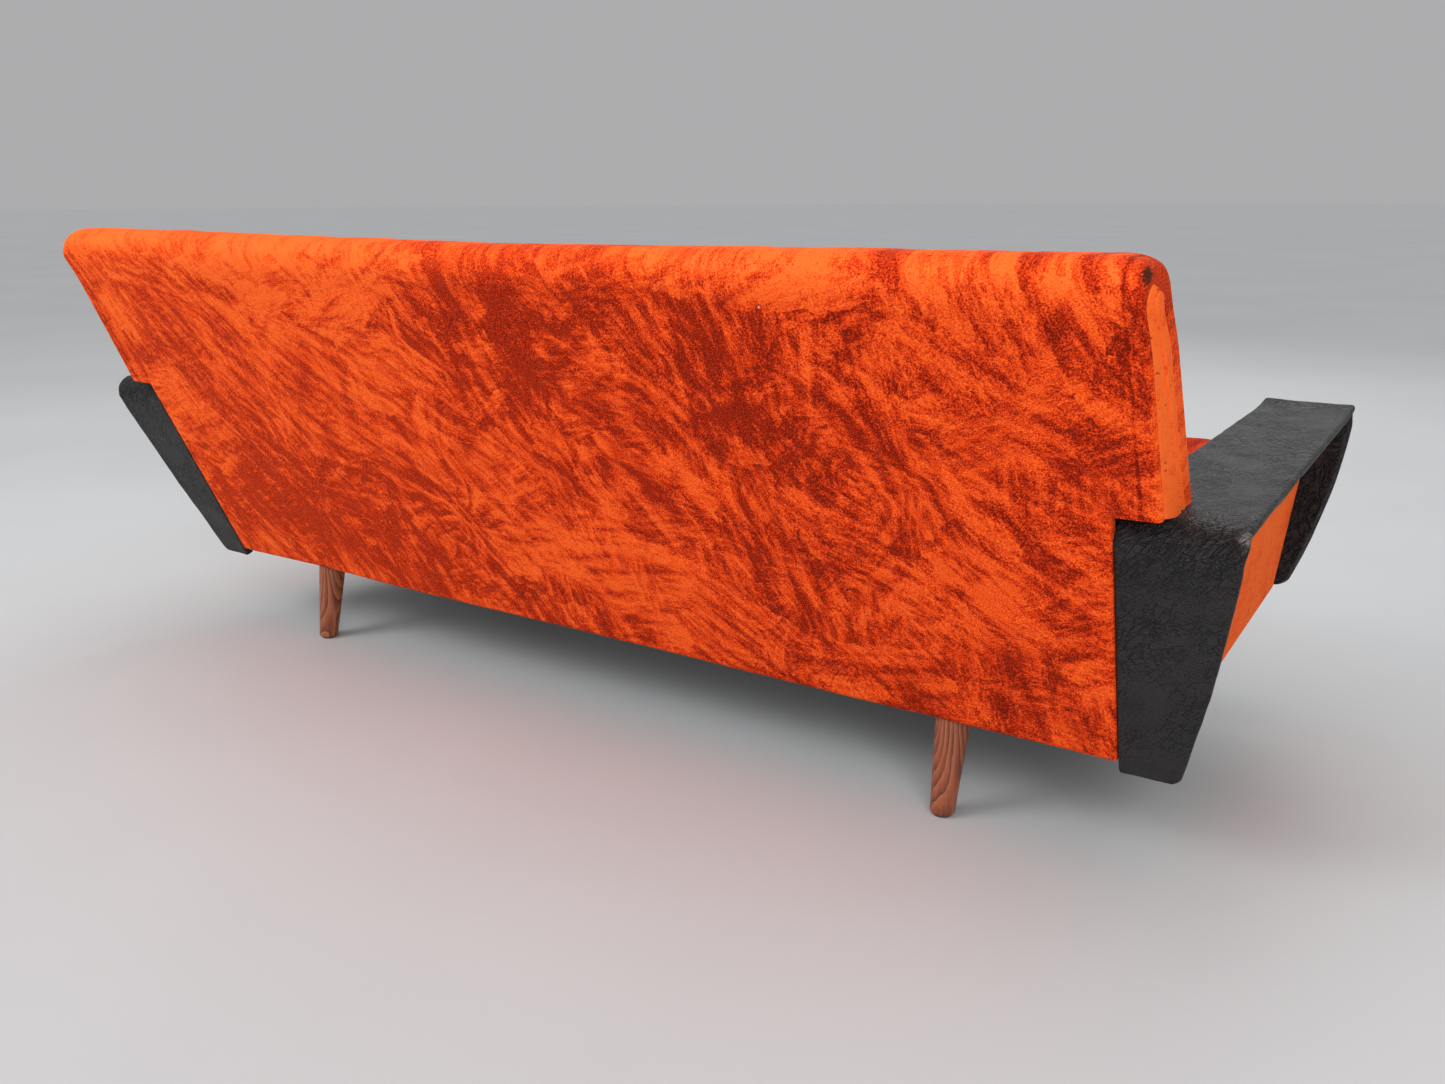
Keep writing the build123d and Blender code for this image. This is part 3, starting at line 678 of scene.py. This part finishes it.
def skin_border(row):
    """(inward from the edge, depth) pairs that turn the skin's edge; the seam is the last but two."""
    radius = 0.0065 if EARS[row] else 0.004
    front = smoothstep(PEAK - 8, PEAK + 8, row)
    reach = (0.0035 + (WRAP - 0.0035) * front) if EARS[row] else 0.014
    angles = np.linspace(0, math.pi / 2, 6)
    quarter = [(radius * (1 - math.sin(a)), radius * (1 - math.cos(a))) for a in angles]
    flat_run = reach - radius if reach > radius else 0.002
    run = [(0.0, radius + flat_run * k / 5) for k in range(1, 6)]
    last = run[-1][1]
    return quarter + run + [(0.0012, last + 0.0012), (0.0045, last + 0.0022)]


def back_skin():
    columns = int(2 * BACK_HALF_LOW / STEP)
    rows, seams = [], []
    for row, ((y, z), normal) in enumerate(zip(SKIN, SKIN_NORMALS)):
        half = skin_half(row)
        border = skin_border(row)
        inner = np.linspace(-1, 1, columns) * (half - border[0][0])
        left = [(-(half - inset), depth) for inset, depth in border[1:]][::-1]
        right = [(half - inset, depth) for inset, depth in border[1:]]
        across = left + [(x, 0.0) for x in inner] + right
        line = np.array([[x, y - normal[0] * d, z - normal[1] * d] for x, d in across])
        line[:, 2] -= hood(line[:, 0], half, line[:, 2])
        rows.append(line)
        seams.append(line[-3])
    grid = np.array(rows)
    skin = grid_object("back_cover", grid)
    flat = grid.reshape(-1, 3)
    half = np.repeat([skin_half(row) for row in range(len(SKIN))], grid.shape[1])
    row = np.repeat(np.arange(len(SKIN)), grid.shape[1])
    edge = smoothstep(0.0, 0.05, half - np.abs(flat[:, 0]))
    rear, front = row < PEAK, smoothstep(PEAK - 2, PEAK + 25, row)
    up = (flat[:, 2] - BOTTOM) / math.cos(LEAN)
    wide = 1 - (flat[:, 0] / half) ** 4
    amount = 0.0015 * FABRIC(flat, 0.17) + 0.0009 * FABRIC(flat + 3, 0.06)
    amount = (amount + 0.00035 * FABRIC(flat + 7, 0.018)) * edge
    amount += 0.0022 * smoothstep(0.618, 0.640, up) * edge * (1 - front)
    amount += 0.0018 * np.sin(np.clip(up / 0.6, 0, 1) * math.pi) * wide * rear
    amount += front * wide * 0.0075 * np.sin(np.clip((flat[:, 2] - 0.26) / 0.5, 0, 1) * math.pi)
    push(skin, amount)
    return skin, np.array(seams)[EARS]


def back_end(seam):
    """The boxing that closes the left end, laid between the skin's rear and front edges."""
    across = 40
    count = len(seam) // 2
    share = np.linspace(0, 1, across)
    rungs = [seam[i] * (1 - share[:, None]) + seam[-1 - i] * share[:, None] for i in range(count)]
    grid = np.array(rungs)
    height = (grid[..., 2] - ARM_REAR_HEIGHT) / 0.26
    tuck = np.abs(2 * share - 1) ** 14
    crease = 0.78 - 0.46 * height + 0.015 * FABRIC(grid, 0.05)
    fold = np.exp(-((share - crease) / 0.045) ** 2) * smoothstep(1.1, 0.95, height)
    bulge = 0.0020 * np.sin(share * math.pi) ** 0.6 - 0.0055 * fold + 0.0006 * FABRIC(grid + 5, 0.03)
    grid[..., 0] += bulge - 0.0012 * tuck
    under = []
    for x in np.linspace(CLEAR_HALF - 0.004, BACK_HALF_LOW - 0.004, 12):
        line = grid[0].copy()
        line[:, 0] = x
        line[:, 2] += 0.0015
        under.append(line)
    edge = grid[0].copy()
    edge[:, 0] -= 0.0012
    edge[:, 2] += 0.0004
    grid = np.concatenate([np.array(under), edge[None], grid])
    return grid_object("back_end_left", grid, flip=True)


# ---- arms: one leatherette band up the rear wing, along the top and down the front wing ----

WING, SLAB = 0.016, 0.018
REAR_BEND, FRONT_BEND = 0.030, 0.022
REAR_DROP = 0.0196
UNDERCUT = 0.010            # the band's outer edge slopes back under it
INNER_LOW, INNER_RISE = 0.866, 0.013
REAR_OUT, REAR_FLARE, REAR_BOW = 0.944, 0.076, 0.006
FRONT_OUT, FRONT_FLARE, FRONT_BOW = 0.925, 0.072, 0.012
TOP_OUT, TOP_TAPER = 1.020, 0.023
END_ROUND_OUT, END_ROUND_IN = 0.016, 0.005
LEATHER = Noise(9)


def arm_path():
    corners = [back_point(0, -REAR_DROP), ARM_REAR, ARM_FRONT, seat_point(BOX_DEPTH, 0)]
    return resampled(rounded(corners, [0, REAR_BEND, FRONT_BEND, 0], steps=16), 0.0038)


def round_off(gap, radius):
    """How far a quarter round draws an edge in, this far from its end."""
    past = np.clip(radius - gap, 0, radius)
    return radius - np.sqrt(np.clip(radius ** 2 - past ** 2, 0, None))


def arm_edges(line):
    """Inner and outer x along the band."""
    along = lengths_along(line)
    rear_length = np.linalg.norm(ARM_REAR - back_point(0, -REAR_DROP)) - 0.6 * REAR_BEND
    front_length = np.linalg.norm(ARM_FRONT - seat_point(BOX_DEPTH, 0)) - 0.4 * FRONT_BEND
    rear = np.clip(along / rear_length, 0, 1)
    front = np.clip((along[-1] - along) / front_length, 0, 1)
    outer_rear = REAR_OUT + REAR_FLARE * rear + REAR_BOW * 4 * rear * (1 - rear)
    outer_front = FRONT_OUT + FRONT_FLARE * front + FRONT_BOW * 4 * front * (1 - front)
    top = np.clip((along - rear_length) / (along[-1] - rear_length - front_length), 0, 1)
    outer_top = TOP_OUT - TOP_TAPER * top
    outer = np.where(along < rear_length, outer_rear, np.where(top < 1, outer_top, outer_front))
    spread = np.where(along < rear_length, rear, smoothstep(0.06, 0.0, top))
    inner = INNER_LOW + INNER_RISE * spread
    for gap in (along, along[-1] - along):
        outer = outer - round_off(gap, END_ROUND_OUT)
        inner = inner + round_off(gap, END_ROUND_IN)
    at_front = np.abs(along - (along[-1] - front_length))
    outer = outer - 0.004 * smoothstep(0.030, 0.0, at_front)
    return inner, outer, along, rear_length, front_length


def band_section(inner, outer, thick, radius, shrink):
    """A closed rounded section as (x, depth) points, outer face first."""
    low, high = shrink, thick - shrink
    corners = [np.array(c) for c in ((inner + shrink, low), (outer - shrink, low),
                                     (outer - shrink - UNDERCUT, high), (inner + shrink, high))]
    line = rounded(corners, [radius] * 4, closed=True, steps=5)
    face = np.linspace(line[4], line[5], 34)[1:-1]
    back = np.linspace(line[14], line[15], 34)[1:-1]
    side = [np.linspace(line[a], line[b], 4)[1:-1] for a, b in ((9, 10), (19, 0))]
    return np.vstack([line[:5], face, line[5:10], side[0], line[10:15], back, line[15:], side[1]])


def arm_band():
    line = arm_path()
    ahead = np.gradient(line, axis=0)
    ahead /= np.linalg.norm(ahead, axis=1)[:, None]
    inward = np.stack([-ahead[:, 1], ahead[:, 0]], -1)
    inner, outer, along, rear_length, front_length = arm_edges(line)
    top_end = along[-1] - front_length
    swell = np.exp(-((top_end - along) / 0.045) ** 2)[:, None]
    line = line + swell * np.array([-0.010, 0.0055])
    rings = []
    for i, point in enumerate(line):
        end = min(along[i], along[-1] - along[i])
        shrink = round_off(end, 0.0055)
        on_top = smoothstep(rear_length - 0.02, rear_length + 0.02, along[i])
        on_top *= smoothstep(top_end + 0.02, top_end - 0.02, along[i])
        thick = WING + (SLAB - WING) * on_top
        section = band_section(inner[i], outer[i], thick, 0.0048, shrink)
        place = point[None] + section[:, 1:2] * inward[i][None]
        rings.append(np.column_stack([section[:, 0], place]))
    grid = np.array(rings)
    band = grid_object("arm_left", grid, wrap=True, caps=True)
    flat = grid.reshape(-1, 3)
    where = np.repeat(along, grid.shape[1])
    middle = (inner.mean() + outer.mean()) / 2
    face = smoothstep(0.075, 0.03, np.abs(flat[:, 0] - middle))
    bend = np.exp(-((where - rear_length) / 0.055) ** 2) + 0.6 * np.exp(-((top_end - where) / 0.03) ** 2)
    folds = np.abs(LEATHER(flat, 0.020)) + 0.6 * np.abs(LEATHER(flat + 2, 0.009))
    amount = 0.0010 * LEATHER(flat, 0.07) + 0.0004 * LEATHER(flat + 1, 0.022) + 0.0012 * face
    amount -= 0.0016 * bend * (0.55 - folds)
    push(band, amount)
    return band


# ---- flat upholstered faces ----

PANEL_X, PANEL_FLARE = 0.905, 0.128     # the side panel at the box's bottom, and its lean per metre
LINING_X = 0.8650
BORDER_HALF, DUST_HALF = 0.8645, 0.862
LEG_X = 0.636
STRAP_GAPS, STRAPS_HALF = 11, 0.786     # between the outermost seat straps


def quad_grid(low, high, rear, front, step):
    """Side-view points over the area between four lines, (rows upwards, columns forwards)."""
    a, b, c, d = cross(low, rear), cross(low, front), cross(high, front), cross(high, rear)
    columns = max(2, int(max(np.linalg.norm(b - a), np.linalg.norm(c - d)) / step))
    rows = max(2, int(max(np.linalg.norm(d - a), np.linalg.norm(c - b)) / step))
    s = np.linspace(0, 1, columns)[None, :, None]
    t = np.linspace(0, 1, rows)[:, None, None]
    return (a * (1 - s) + b * s) * (1 - t) + (d * (1 - s) + c * s) * t


def drawn_across(profile, half, count):
    """The x stations, and a grid that carries a side-view line from -half to half."""
    x = np.linspace(-half, half, count)
    return x, np.array([np.column_stack([x, np.tile(point, (count, 1))]) for point in profile])


def edge_mask(grid, width):
    """0 on the border of a grid of points, 1 once this far inside."""
    rows, columns = grid.shape[:2]
    length = np.linalg.norm(grid[0, -1] - grid[0, 0])
    height = np.linalg.norm(grid[-1, 0] - grid[0, 0])
    s, t = np.linspace(0, length, columns), np.linspace(0, height, rows)
    across = smoothstep(0, width, np.minimum(s, length - s))
    along = smoothstep(0, width, np.minimum(t, height - t))
    return along[:, None] * across[None, :]


def height_on_box(points):
    """Height above the bottom of the seat box, square to the rake."""
    return (points - seat_point(0, 0)) @ np.array([math.sin(RAKE), math.cos(RAKE)])


def turned_in(surface, inward, radius=0.004, lip=0.006):
    """Adds a rolled edge all round a grid: (rows, columns, 3) with one inward direction."""
    inward = np.asarray(inward, float)

    def roll(grid):
        first, second = grid[0], grid[1]
        out = first - second
        out /= np.linalg.norm(out, axis=1)[:, None]
        strips = [first + inward * (radius + lip)]
        for angle in np.linspace(0, math.pi / 2, 5)[:-1]:
            back = first - out * radius * (1 - math.cos(angle))
            strips.append(back + inward * radius * (1 - math.sin(angle)))
        return np.concatenate([np.array(strips), (first - out * radius)[None], grid[1:]])

    for _ in range(2):
        surface = roll(roll(surface)[::-1])[::-1].transpose(1, 0, 2)
    return surface


def side_panel():
    """The recessed velvet panel under the left arm."""
    flat = quad_grid(seat_line(0), arm_line(SLAB), back_line(WING), front_line(BOX_DEPTH - WING), 0.006)
    x = PANEL_X + PANEL_FLARE * height_on_box(flat)
    grid = np.concatenate([x[..., None], flat], -1)
    mask = edge_mask(grid, 0.05)
    grid[..., 0] += mask * (0.0028 + 0.0010 * FABRIC(grid, 0.09) + 0.0004 * FABRIC(grid, 0.03))
    return grid_object("side_panel_left_cover", turned_in(grid, (-1, 0, 0)), flip=True)


def arm_lining():
    """Velvet on the inside of the left arm."""
    front = front_line(BOX_DEPTH - WING + 0.004)
    flat = quad_grid(seat_line(0.1), arm_line(SLAB - 0.002), inside_line(0.02), front, 0.008)
    grid = np.concatenate([np.full(flat.shape[:2] + (1,), LINING_X), flat], -1)
    mask = edge_mask(grid, 0.05)
    grid[..., 0] -= mask * (0.0008 + 0.0004 * FABRIC(grid, 0.08))
    return grid_object("arm_lining_left_cover", turned_in(grid, (1, 0, 0), 0.002, 0.0015))


def border():
    """The front edge of the seat box, its velvet carried back over the deck."""
    profile = rounded([seat_point(BOX_DEPTH - 0.03, 0.0), seat_point(BOX_DEPTH, 0.0),
                       seat_point(BOX_DEPTH, DECK + 0.0004), seat_point(BOX_DEPTH - 0.09, DECK + 0.0004)],
                      [0, 0.007, 0.010, 0], steps=9)
    profile = resampled(profile, 0.0055)
    _, grid = drawn_across(profile, BORDER_HALF, 300)
    cover = grid_object("front_border_cover", grid, flip=True)
    flat = points_of(cover)
    up = height_on_box(flat[:, 1:])
    ends = smoothstep(0, 0.05, BORDER_HALF - np.abs(flat[:, 0]))
    on_face = np.sin(np.clip(up / DECK, 0, 1) * math.pi) * smoothstep(DECK - 0.001, DECK - 0.01, up)
    push(cover, (0.0030 * on_face + 0.0008 * FABRIC(flat, 0.08) * on_face) * ends)
    return cover


def deck_sheet():
    """The dark cloth under the cushions, dipping between the straps."""
    front = front_line(BOX_DEPTH - 0.088)
    flat = quad_grid(seat_line(DECK), seat_line(DECK + 0.001), inside_line(0.02), front, 0.01)[0]
    x, grid = drawn_across(flat, CLEAR_HALF, 216)
    straps = 0.5 + 0.5 * np.cos(x * 2 * math.pi * STRAP_GAPS / (2 * STRAPS_HALF))
    grid[..., 2] -= 0.0011 * (1 - straps) * np.sin(np.linspace(0, math.pi, len(flat)))[:, None]
    return grid_object("deck_sheet", grid, flip=True)


def dust_sheet():
    """The black cloth tacked under the seat, hanging a little between the rails."""
    front = front_line(BOX_DEPTH - 0.0065)
    flat = quad_grid(seat_line(-0.0002), seat_line(0.001), back_line(0.0065), front, 0.012)[0]
    x, grid = drawn_across(flat, DUST_HALF, 144)
    bays = np.abs(np.sin(np.clip(np.abs(x) / LEG_X, 0, 1) * math.pi))
    belly = np.sin(np.linspace(0, math.pi, len(flat)))[:, None] ** 0.7
    grid[..., 2] -= 0.006 * bays[None, :] * belly + 0.0004 * (1 + FABRIC(grid, 0.05)) * belly
    return grid_object("dust_sheet", grid)


# ---- seat cushions ----

CUSHION_HALF = 0.286
CUSHION_PITCH = 0.575
CUSHION_LOW = DECK + 0.0008
CUSHION_FRONT = 0.664
PIPING = 0.0040
PIPING_IN, SEAM_IN = 0.004, 0.006
CLOTH_FRAMES = 20
CREASE = Noise(21)


def cushion_corners(inset):
    low, high = seat_line(CUSHION_LOW + inset), seat_line(CUSHION_TOP - inset)
    rear, front = inside_line(-0.004 - inset), front_line(CUSHION_FRONT - inset)
    return [cross(low, rear), cross(low, front), cross(high, front), cross(high, rear)]


def cushion_block():
    """A slightly small rounded block for the simulation to fill."""
    start, edge = 0.0035, 0.020
    half = CUSHION_HALF - start
    stations = np.r_[np.linspace(0, edge, 7)[:-1], np.linspace(edge, 2 * half - edge, 40),
                     np.linspace(2 * half - edge, 2 * half, 7)[1:]]
    rings = []
    for station in stations:
        shrink = round_off(min(station, 2 * half - station), edge)
        line = rounded(cushion_corners(start + shrink * 0.92), [0.010] * 4, closed=True, steps=5)
        line = resampled(line, 0.012 * (1 - shrink), closed=True)
        rings.append(line)
    count = min(len(ring) for ring in rings)
    rings = [resampled(ring, None, closed=True, count=count) for ring in rings]
    grid = np.array([np.column_stack([np.full(count, s - half), ring]) for s, ring in zip(stations, rings)])
    return grid_object("cushion_block", grid, wrap=True, caps=True)


def held_in(points):
    """Keeps a cushion inside its bay: off the deck, the back and its neighbours."""
    flat = points[:, 1:]
    up = height_on_box(flat)
    points[:, 0] = np.clip(points[:, 0], -CUSHION_HALF - 0.0006, CUSHION_HALF + 0.0006)
    lift = np.clip(CUSHION_LOW - up, 0, None)
    points[:, 1] += lift * math.sin(RAKE)
    points[:, 2] += lift * math.cos(RAKE)
    start, way = inside_line(-0.0025)
    normal = np.array([-way[1], way[0]])
    depth = (points[:, 1:] - start) @ normal
    points[:, 1:] += np.clip(-depth, 0, None)[:, None] * normal
    return points


def simulated(block, voxel, pressure, cap):
    """Fills a block with the cloth solver, capping how far any point moves."""
    remesh = block.modifiers.new("remesh", "REMESH")
    remesh.mode, remesh.voxel_size = "VOXEL", voxel
    apply_modifiers(block)
    start = points_of(block).copy()
    cloth_solver = block.modifiers.new("cloth", "CLOTH")
    settings = cloth_solver.settings
    settings.quality = 4
    settings.mass = 0.3
    settings.tension_stiffness = settings.compression_stiffness = 18
    settings.shear_stiffness = 6
    settings.bending_stiffness = 0.4
    settings.use_pressure = True
    settings.uniform_pressure_force = pressure
    settings.effector_weights.gravity = 0
    cloth_solver.point_cache.frame_start, cloth_solver.point_cache.frame_end = 1, CLOTH_FRAMES
    for number in range(1, CLOTH_FRAMES + 1):
        bpy.context.scene.frame_set(number)
    apply_modifiers(block)
    bpy.context.scene.frame_set(1)
    moved = points_of(block) - start
    moved -= moved.mean(axis=0)
    length = np.linalg.norm(moved, axis=1)[:, None]
    moved *= np.minimum(1, cap / np.maximum(length, 1e-9))
    set_points(block, held_in(start + moved))
    smooth = block.modifiers.new("even", "SMOOTH")
    smooth.factor, smooth.iterations = 0.5, 4
    finer = block.modifiers.new("finer", "SUBSURF")
    finer.levels = finer.render_levels = 1
    apply_modifiers(block)
    set_points(block, held_in(points_of(block).copy()))
    block.data.polygons.foreach_set("use_smooth", [True] * len(block.data.polygons))
    return block


def plan_loop(inset, up):
    """A rounded rectangle round the cushion at one height."""
    rear = cross(inside_line(-0.004 - inset), seat_line(up))
    front = cross(front_line(CUSHION_FRONT - inset), seat_line(up))
    half = CUSHION_HALF - inset
    length = np.linalg.norm(front - rear)
    corners = [np.array(c) for c in ((-half, 0), (half, 0), (half, length), (-half, length))]
    loop = resampled(rounded(corners, [0.020] * 4, closed=True, steps=8), 0.006, closed=True)
    side = rear + (front - rear) / length * loop[:, 1:2]
    return np.column_stack([loop[:, 0], side])


def piping(name, tree, inset, up):
    """A covered cord sewn into the cushion's edge seam."""
    centre = np.array([0, *cross(front_line(0.32), seat_line((CUSHION_LOW + CUSHION_TOP) / 2))])
    line = []
    for point in plan_loop(inset, up):
        hit, _, _, _ = tree.find_nearest(Vector(point))
        inward = centre - np.array(hit)
        line.append(np.array(hit) - inward / np.linalg.norm(inward) * PIPING * 0.20)
    line = np.array(line)
    for _ in range(3):
        line = (np.roll(line, 1, 0) + 2 * line + np.roll(line, -1, 0)) / 4
    limit = CUSHION_HALF + 0.0012 - PIPING
    line[:, 0] = np.clip(line[:, 0], -limit, limit)
    return tube(name, line, PIPING, closed=True, sides=12)


def cushions(material):
    """Three cushions from one simulated form, each with its own creases, piping and seams."""
    form = simulated(cushion_block(), voxel=0.0080, pressure=4.0, cap=0.016)
    base = points_of(form).copy()
    for index, side in enumerate(("right", "middle", "left")):
        cover = form.copy()
        cover.data = form.data.copy()
        cover.name = cover.data.name = "cushion_" + side
        bpy.context.collection.objects.link(cover)
        points = base.copy()
        if side == "left":
            points[:, 0] *= -1
        set_points(cover, points)
        if side == "left":
            cover.data.flip_normals()
        up = height_on_box(points[:, 1:])
        middle = smoothstep(0.0, 0.08, CUSHION_HALF - np.abs(points[:, 0]))
        upper = smoothstep(CUSHION_LOW + 0.02, CUSHION_TOP - 0.02, up)
        wave = 0.0016 * CREASE(points + index * 3.1, 0.13) + 0.0008 * CREASE(points + index * 5.7, 0.05)
        hollow = np.exp(-((points[:, 0] / 0.17) ** 2) - (((points[:, 1] + 0.10) / 0.20) ** 2))
        push(cover, (wave * middle - 0.0035 * hollow) * upper)
        set_points(cover, held_in(points_of(cover).copy()))
        tree = BVHTree.FromPolygons([tuple(p) for p in points_of(cover)],
                                    [tuple(f.vertices) for f in cover.data.polygons])
        seams = (("top", CUSHION_TOP - SEAM_IN), ("low", CUSHION_LOW + SEAM_IN))
        cords = [piping("cushion_%s_%s_piping" % (side, name), tree, PIPING_IN, height)
                 for name, height in seams]
        for piece in (cover, *cords):
            points = points_of(piece)
            points[:, 0] += (index - 1) * CUSHION_PITCH
            set_points(piece, points)
        nodes = ("cushion_cover_" + side, "cushion_foam_" + side)
        finish_piece(cover, "cushion_" + side, "velvet", material, *nodes)
        for cord in cords:
            finish_piece(cord, "cushion_" + side, "velvet", material)
    bpy.data.objects.remove(form)


# ---- everything in place ----

RIGHT_ANGLE = math.pi / 2
WORN_CORNER = (-1.012, REAR + 0.122, 0.474)

BACK_TURN = (-(RIGHT_ANGLE - LEAN), 0.0, 0.0)
FLAWS = [((x, *back_point(depth, up)), size, shade) for x, depth, up, size, shade in
         ((-0.927, 0.020, 0.648, 0.0100, SCUFF), (-0.4935, -0.004, 0.6018, 0.0021, SPECK),
          (0.562, -0.003, 0.655, 0.0045, SCUFF))]
# velvet_back, velvet_side and velvet_seat are lit and shaded copies of one velvet: the third argument paints
# each copy lighter or darker for how its faces are lit
velvet_back = velvet("velvet_back", BACK_TURN, 0.0, stitched=True, marks=FLAWS)
velvet_side = velvet("velvet_side", (0.0, RIGHT_ANGLE, 0.0), 0.50, 0.5, 0.75)
velvet_seat = velvet("velvet_seat", (-RIGHT_ANGLE / 2, 0.0, 0.3), 0.05, 0.9)
leather = leatherette("leatherette")
by_slot = {
    "frame_wood": wood("frame_wood", (0.56, 0.37, 0.19), (0.38, 0.22, 0.10), 0.6, 0.75, (0.09, 1.0, 1.0)),
    "plywood": wood("plywood", (0.50, 0.33, 0.18), (0.34, 0.20, 0.10), 0.5, 0.78, (1.0, 0.09, 1.0)),
    "hardboard": rough_matter("hardboard", (0.16, 0.09, 0.05), (0.09, 0.05, 0.028), 0.004, 0.8),
    "foam": rough_matter("foam", (0.75, 0.60, 0.28), (0.60, 0.45, 0.18), 0.003, 0.95),
    "webbing": cloth("webbing", (0.36, 0.22, 0.10), (0.16, 0.09, 0.04), 0.0022, 0.85),
    "deck_cloth": cloth("deck_cloth", (0.040, 0.032, 0.028), (0.014, 0.011, 0.010)),
    "dust_cloth": cloth("dust_cloth", (0.022, 0.022, 0.023), (0.008, 0.008, 0.008), 0.0012),
    "steel": rough_matter("steel", (0.55, 0.55, 0.56), (0.36, 0.36, 0.37), 0.002, 0.35, 1.0),
    "glide_plastic": rough_matter("glide_plastic", (0.05, 0.045, 0.04), (0.025, 0.022, 0.02), 0.001, 0.5),
    "zip": cloth("zip", (0.30, 0.035, 0.006), (0.12, 0.012, 0.003), 0.0014, 0.6),
    "velvet": velvet_back,
    "leatherette": leather,
}
slot_of = {row["node"]: row["material_slot"] for row in frame["record"]["subparts"]}
for node, piece in frame["nodes"].items():
    if slot_of[node] == "leg_wood":
        material = leg_timber("timber_" + node, [(a + b) / 2 for a, b in zip(*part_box(node))])
    else:
        material = by_slot[slot_of[node]]
    for socket in piece.material_slots:
        socket.material = material

skin, seam = back_skin()
finish_piece(skin, "sofa", "velvet", velvet_back, "outside_back_cover", "inside_back_cover", "back_top_pad",
             "inside_back_foam", "outside_back_board")
end_left = back_end(seam)
arm_left = arm_band()
panel_left, lining_left = side_panel(), arm_lining()
ARM_NODES = ("arm_cover_", "arm_pad_", "arm_board_", "rear_wing_board_", "front_wing_board_")
for left, nodes, slot, material in ((end_left, ("end_boxing_",), "velvet", velvet_side),
                                    (arm_left, ARM_NODES, "leatherette", leather),
                                    (panel_left, ("side_panel_",), "velvet", velvet_side),
                                    (lining_left, ("arm_lining_",), "velvet", velvet_side)):
    right = mirrored(left, left.name.replace("left", "right"))
    for piece, side in ((left, "left"), (right, "right")):
        finish_piece(piece, "sofa", slot, material, *(node + side for node in nodes))

border_cover = finish_piece(border(), "sofa", "velvet", velvet_seat, "front_border")
deck = finish_piece(deck_sheet(), "sofa", "deck_cloth", by_slot["deck_cloth"], "deck_cloth")
dust = finish_piece(dust_sheet(), "sofa", "dust_cloth", by_slot["dust_cloth"], "dust_cover")
cushions(velvet_seat)


# ---- stage, lights and camera ----

def stage_material():
    tree = Tree("stage_floor")
    place = tree.place()
    soft = tree.noise(place, 0.8, 4.0, 0.6)
    colour = tree.ramp(soft, [(0.3, (0.48, 0.49, 0.495)), (0.7, (0.52, 0.53, 0.535))])
    return tree.finish({"Base Color": colour, "Roughness": 0.55, "Specular IOR Level": 0.3})


def floor():
    radii = np.array([0, 2, 6, 20, 60.0])
    turns = np.arange(48) * 2 * math.pi / 48
    rings = np.array([[(r * math.cos(a), r * math.sin(a), 0.0) for a in turns] for r in radii + 0.001])
    ground = grid_object("stage_floor", rings, wrap=True)
    ground.data.materials.append(stage_material())


def area_light(name, place, target, size, power):
    light = bpy.data.lights.new(name, "AREA")
    light.shape, light.size, light.size_y = "RECTANGLE", size[0], size[1]
    light.energy = power
    lamp = bpy.data.objects.new(name, light)
    lamp.location = place
    lamp.rotation_euler = (Vector(target) - Vector(place)).to_track_quat("-Z", "Y").to_euler()
    bpy.context.collection.objects.link(lamp)


def camera():
    yaw, pitch, roll = 0.60348, 0.27287, -0.00494
    away = Vector((math.sin(yaw) * math.cos(pitch), -math.cos(yaw) * math.cos(pitch), -math.sin(pitch)))
    right = away.cross(Vector((0, 0, 1))).normalized()
    up = right.cross(away)
    right, up = right * math.cos(roll) + up * math.sin(roll), up * math.cos(roll) - right * math.sin(roll)
    data = bpy.data.cameras.new("camera")
    data.sensor_width, data.lens = 36.0, 31.64
    eye = bpy.data.objects.new("camera", data)
    eye.matrix_world = Matrix((right, up, -away)).transposed().to_4x4()
    eye.location = (-1.2785, REAR + 1.4496, 0.8220)
    bpy.context.collection.objects.link(eye)
    bpy.context.scene.camera = eye


floor()
area_light("key", (2.6, 3.6, 3.2), (0.3, 0.2, 0.4), (2.4, 2.0), 110)
area_light("fill", (-3.0, 3.4, 2.2), (-0.4, 0.1, 0.4), (2.4, 2.0), 95)
area_light("front", (0.5, -3.6, 3.2), (0.0, 0.0, 0.4), (3.0, 2.0), 60)
sky_light = bpy.data.lights.new("sky", "SUN")
sky_light.energy, sky_light.angle = 1.15, math.radians(80)
sky = bpy.data.objects.new("sky", sky_light)
sky.rotation_euler = (-0.25, 0.10, 0.0)
bpy.context.collection.objects.link(sky)
world = bpy.data.worlds.new("studio")
world.use_nodes = True
world.node_tree.nodes["Background"].inputs["Color"].default_value = (0.52, 0.52, 0.53, 1)
world.node_tree.nodes["Background"].inputs["Strength"].default_value = 0.80
bpy.context.scene.world = world
bpy.context.scene.view_settings.view_transform = "Standard"
camera()
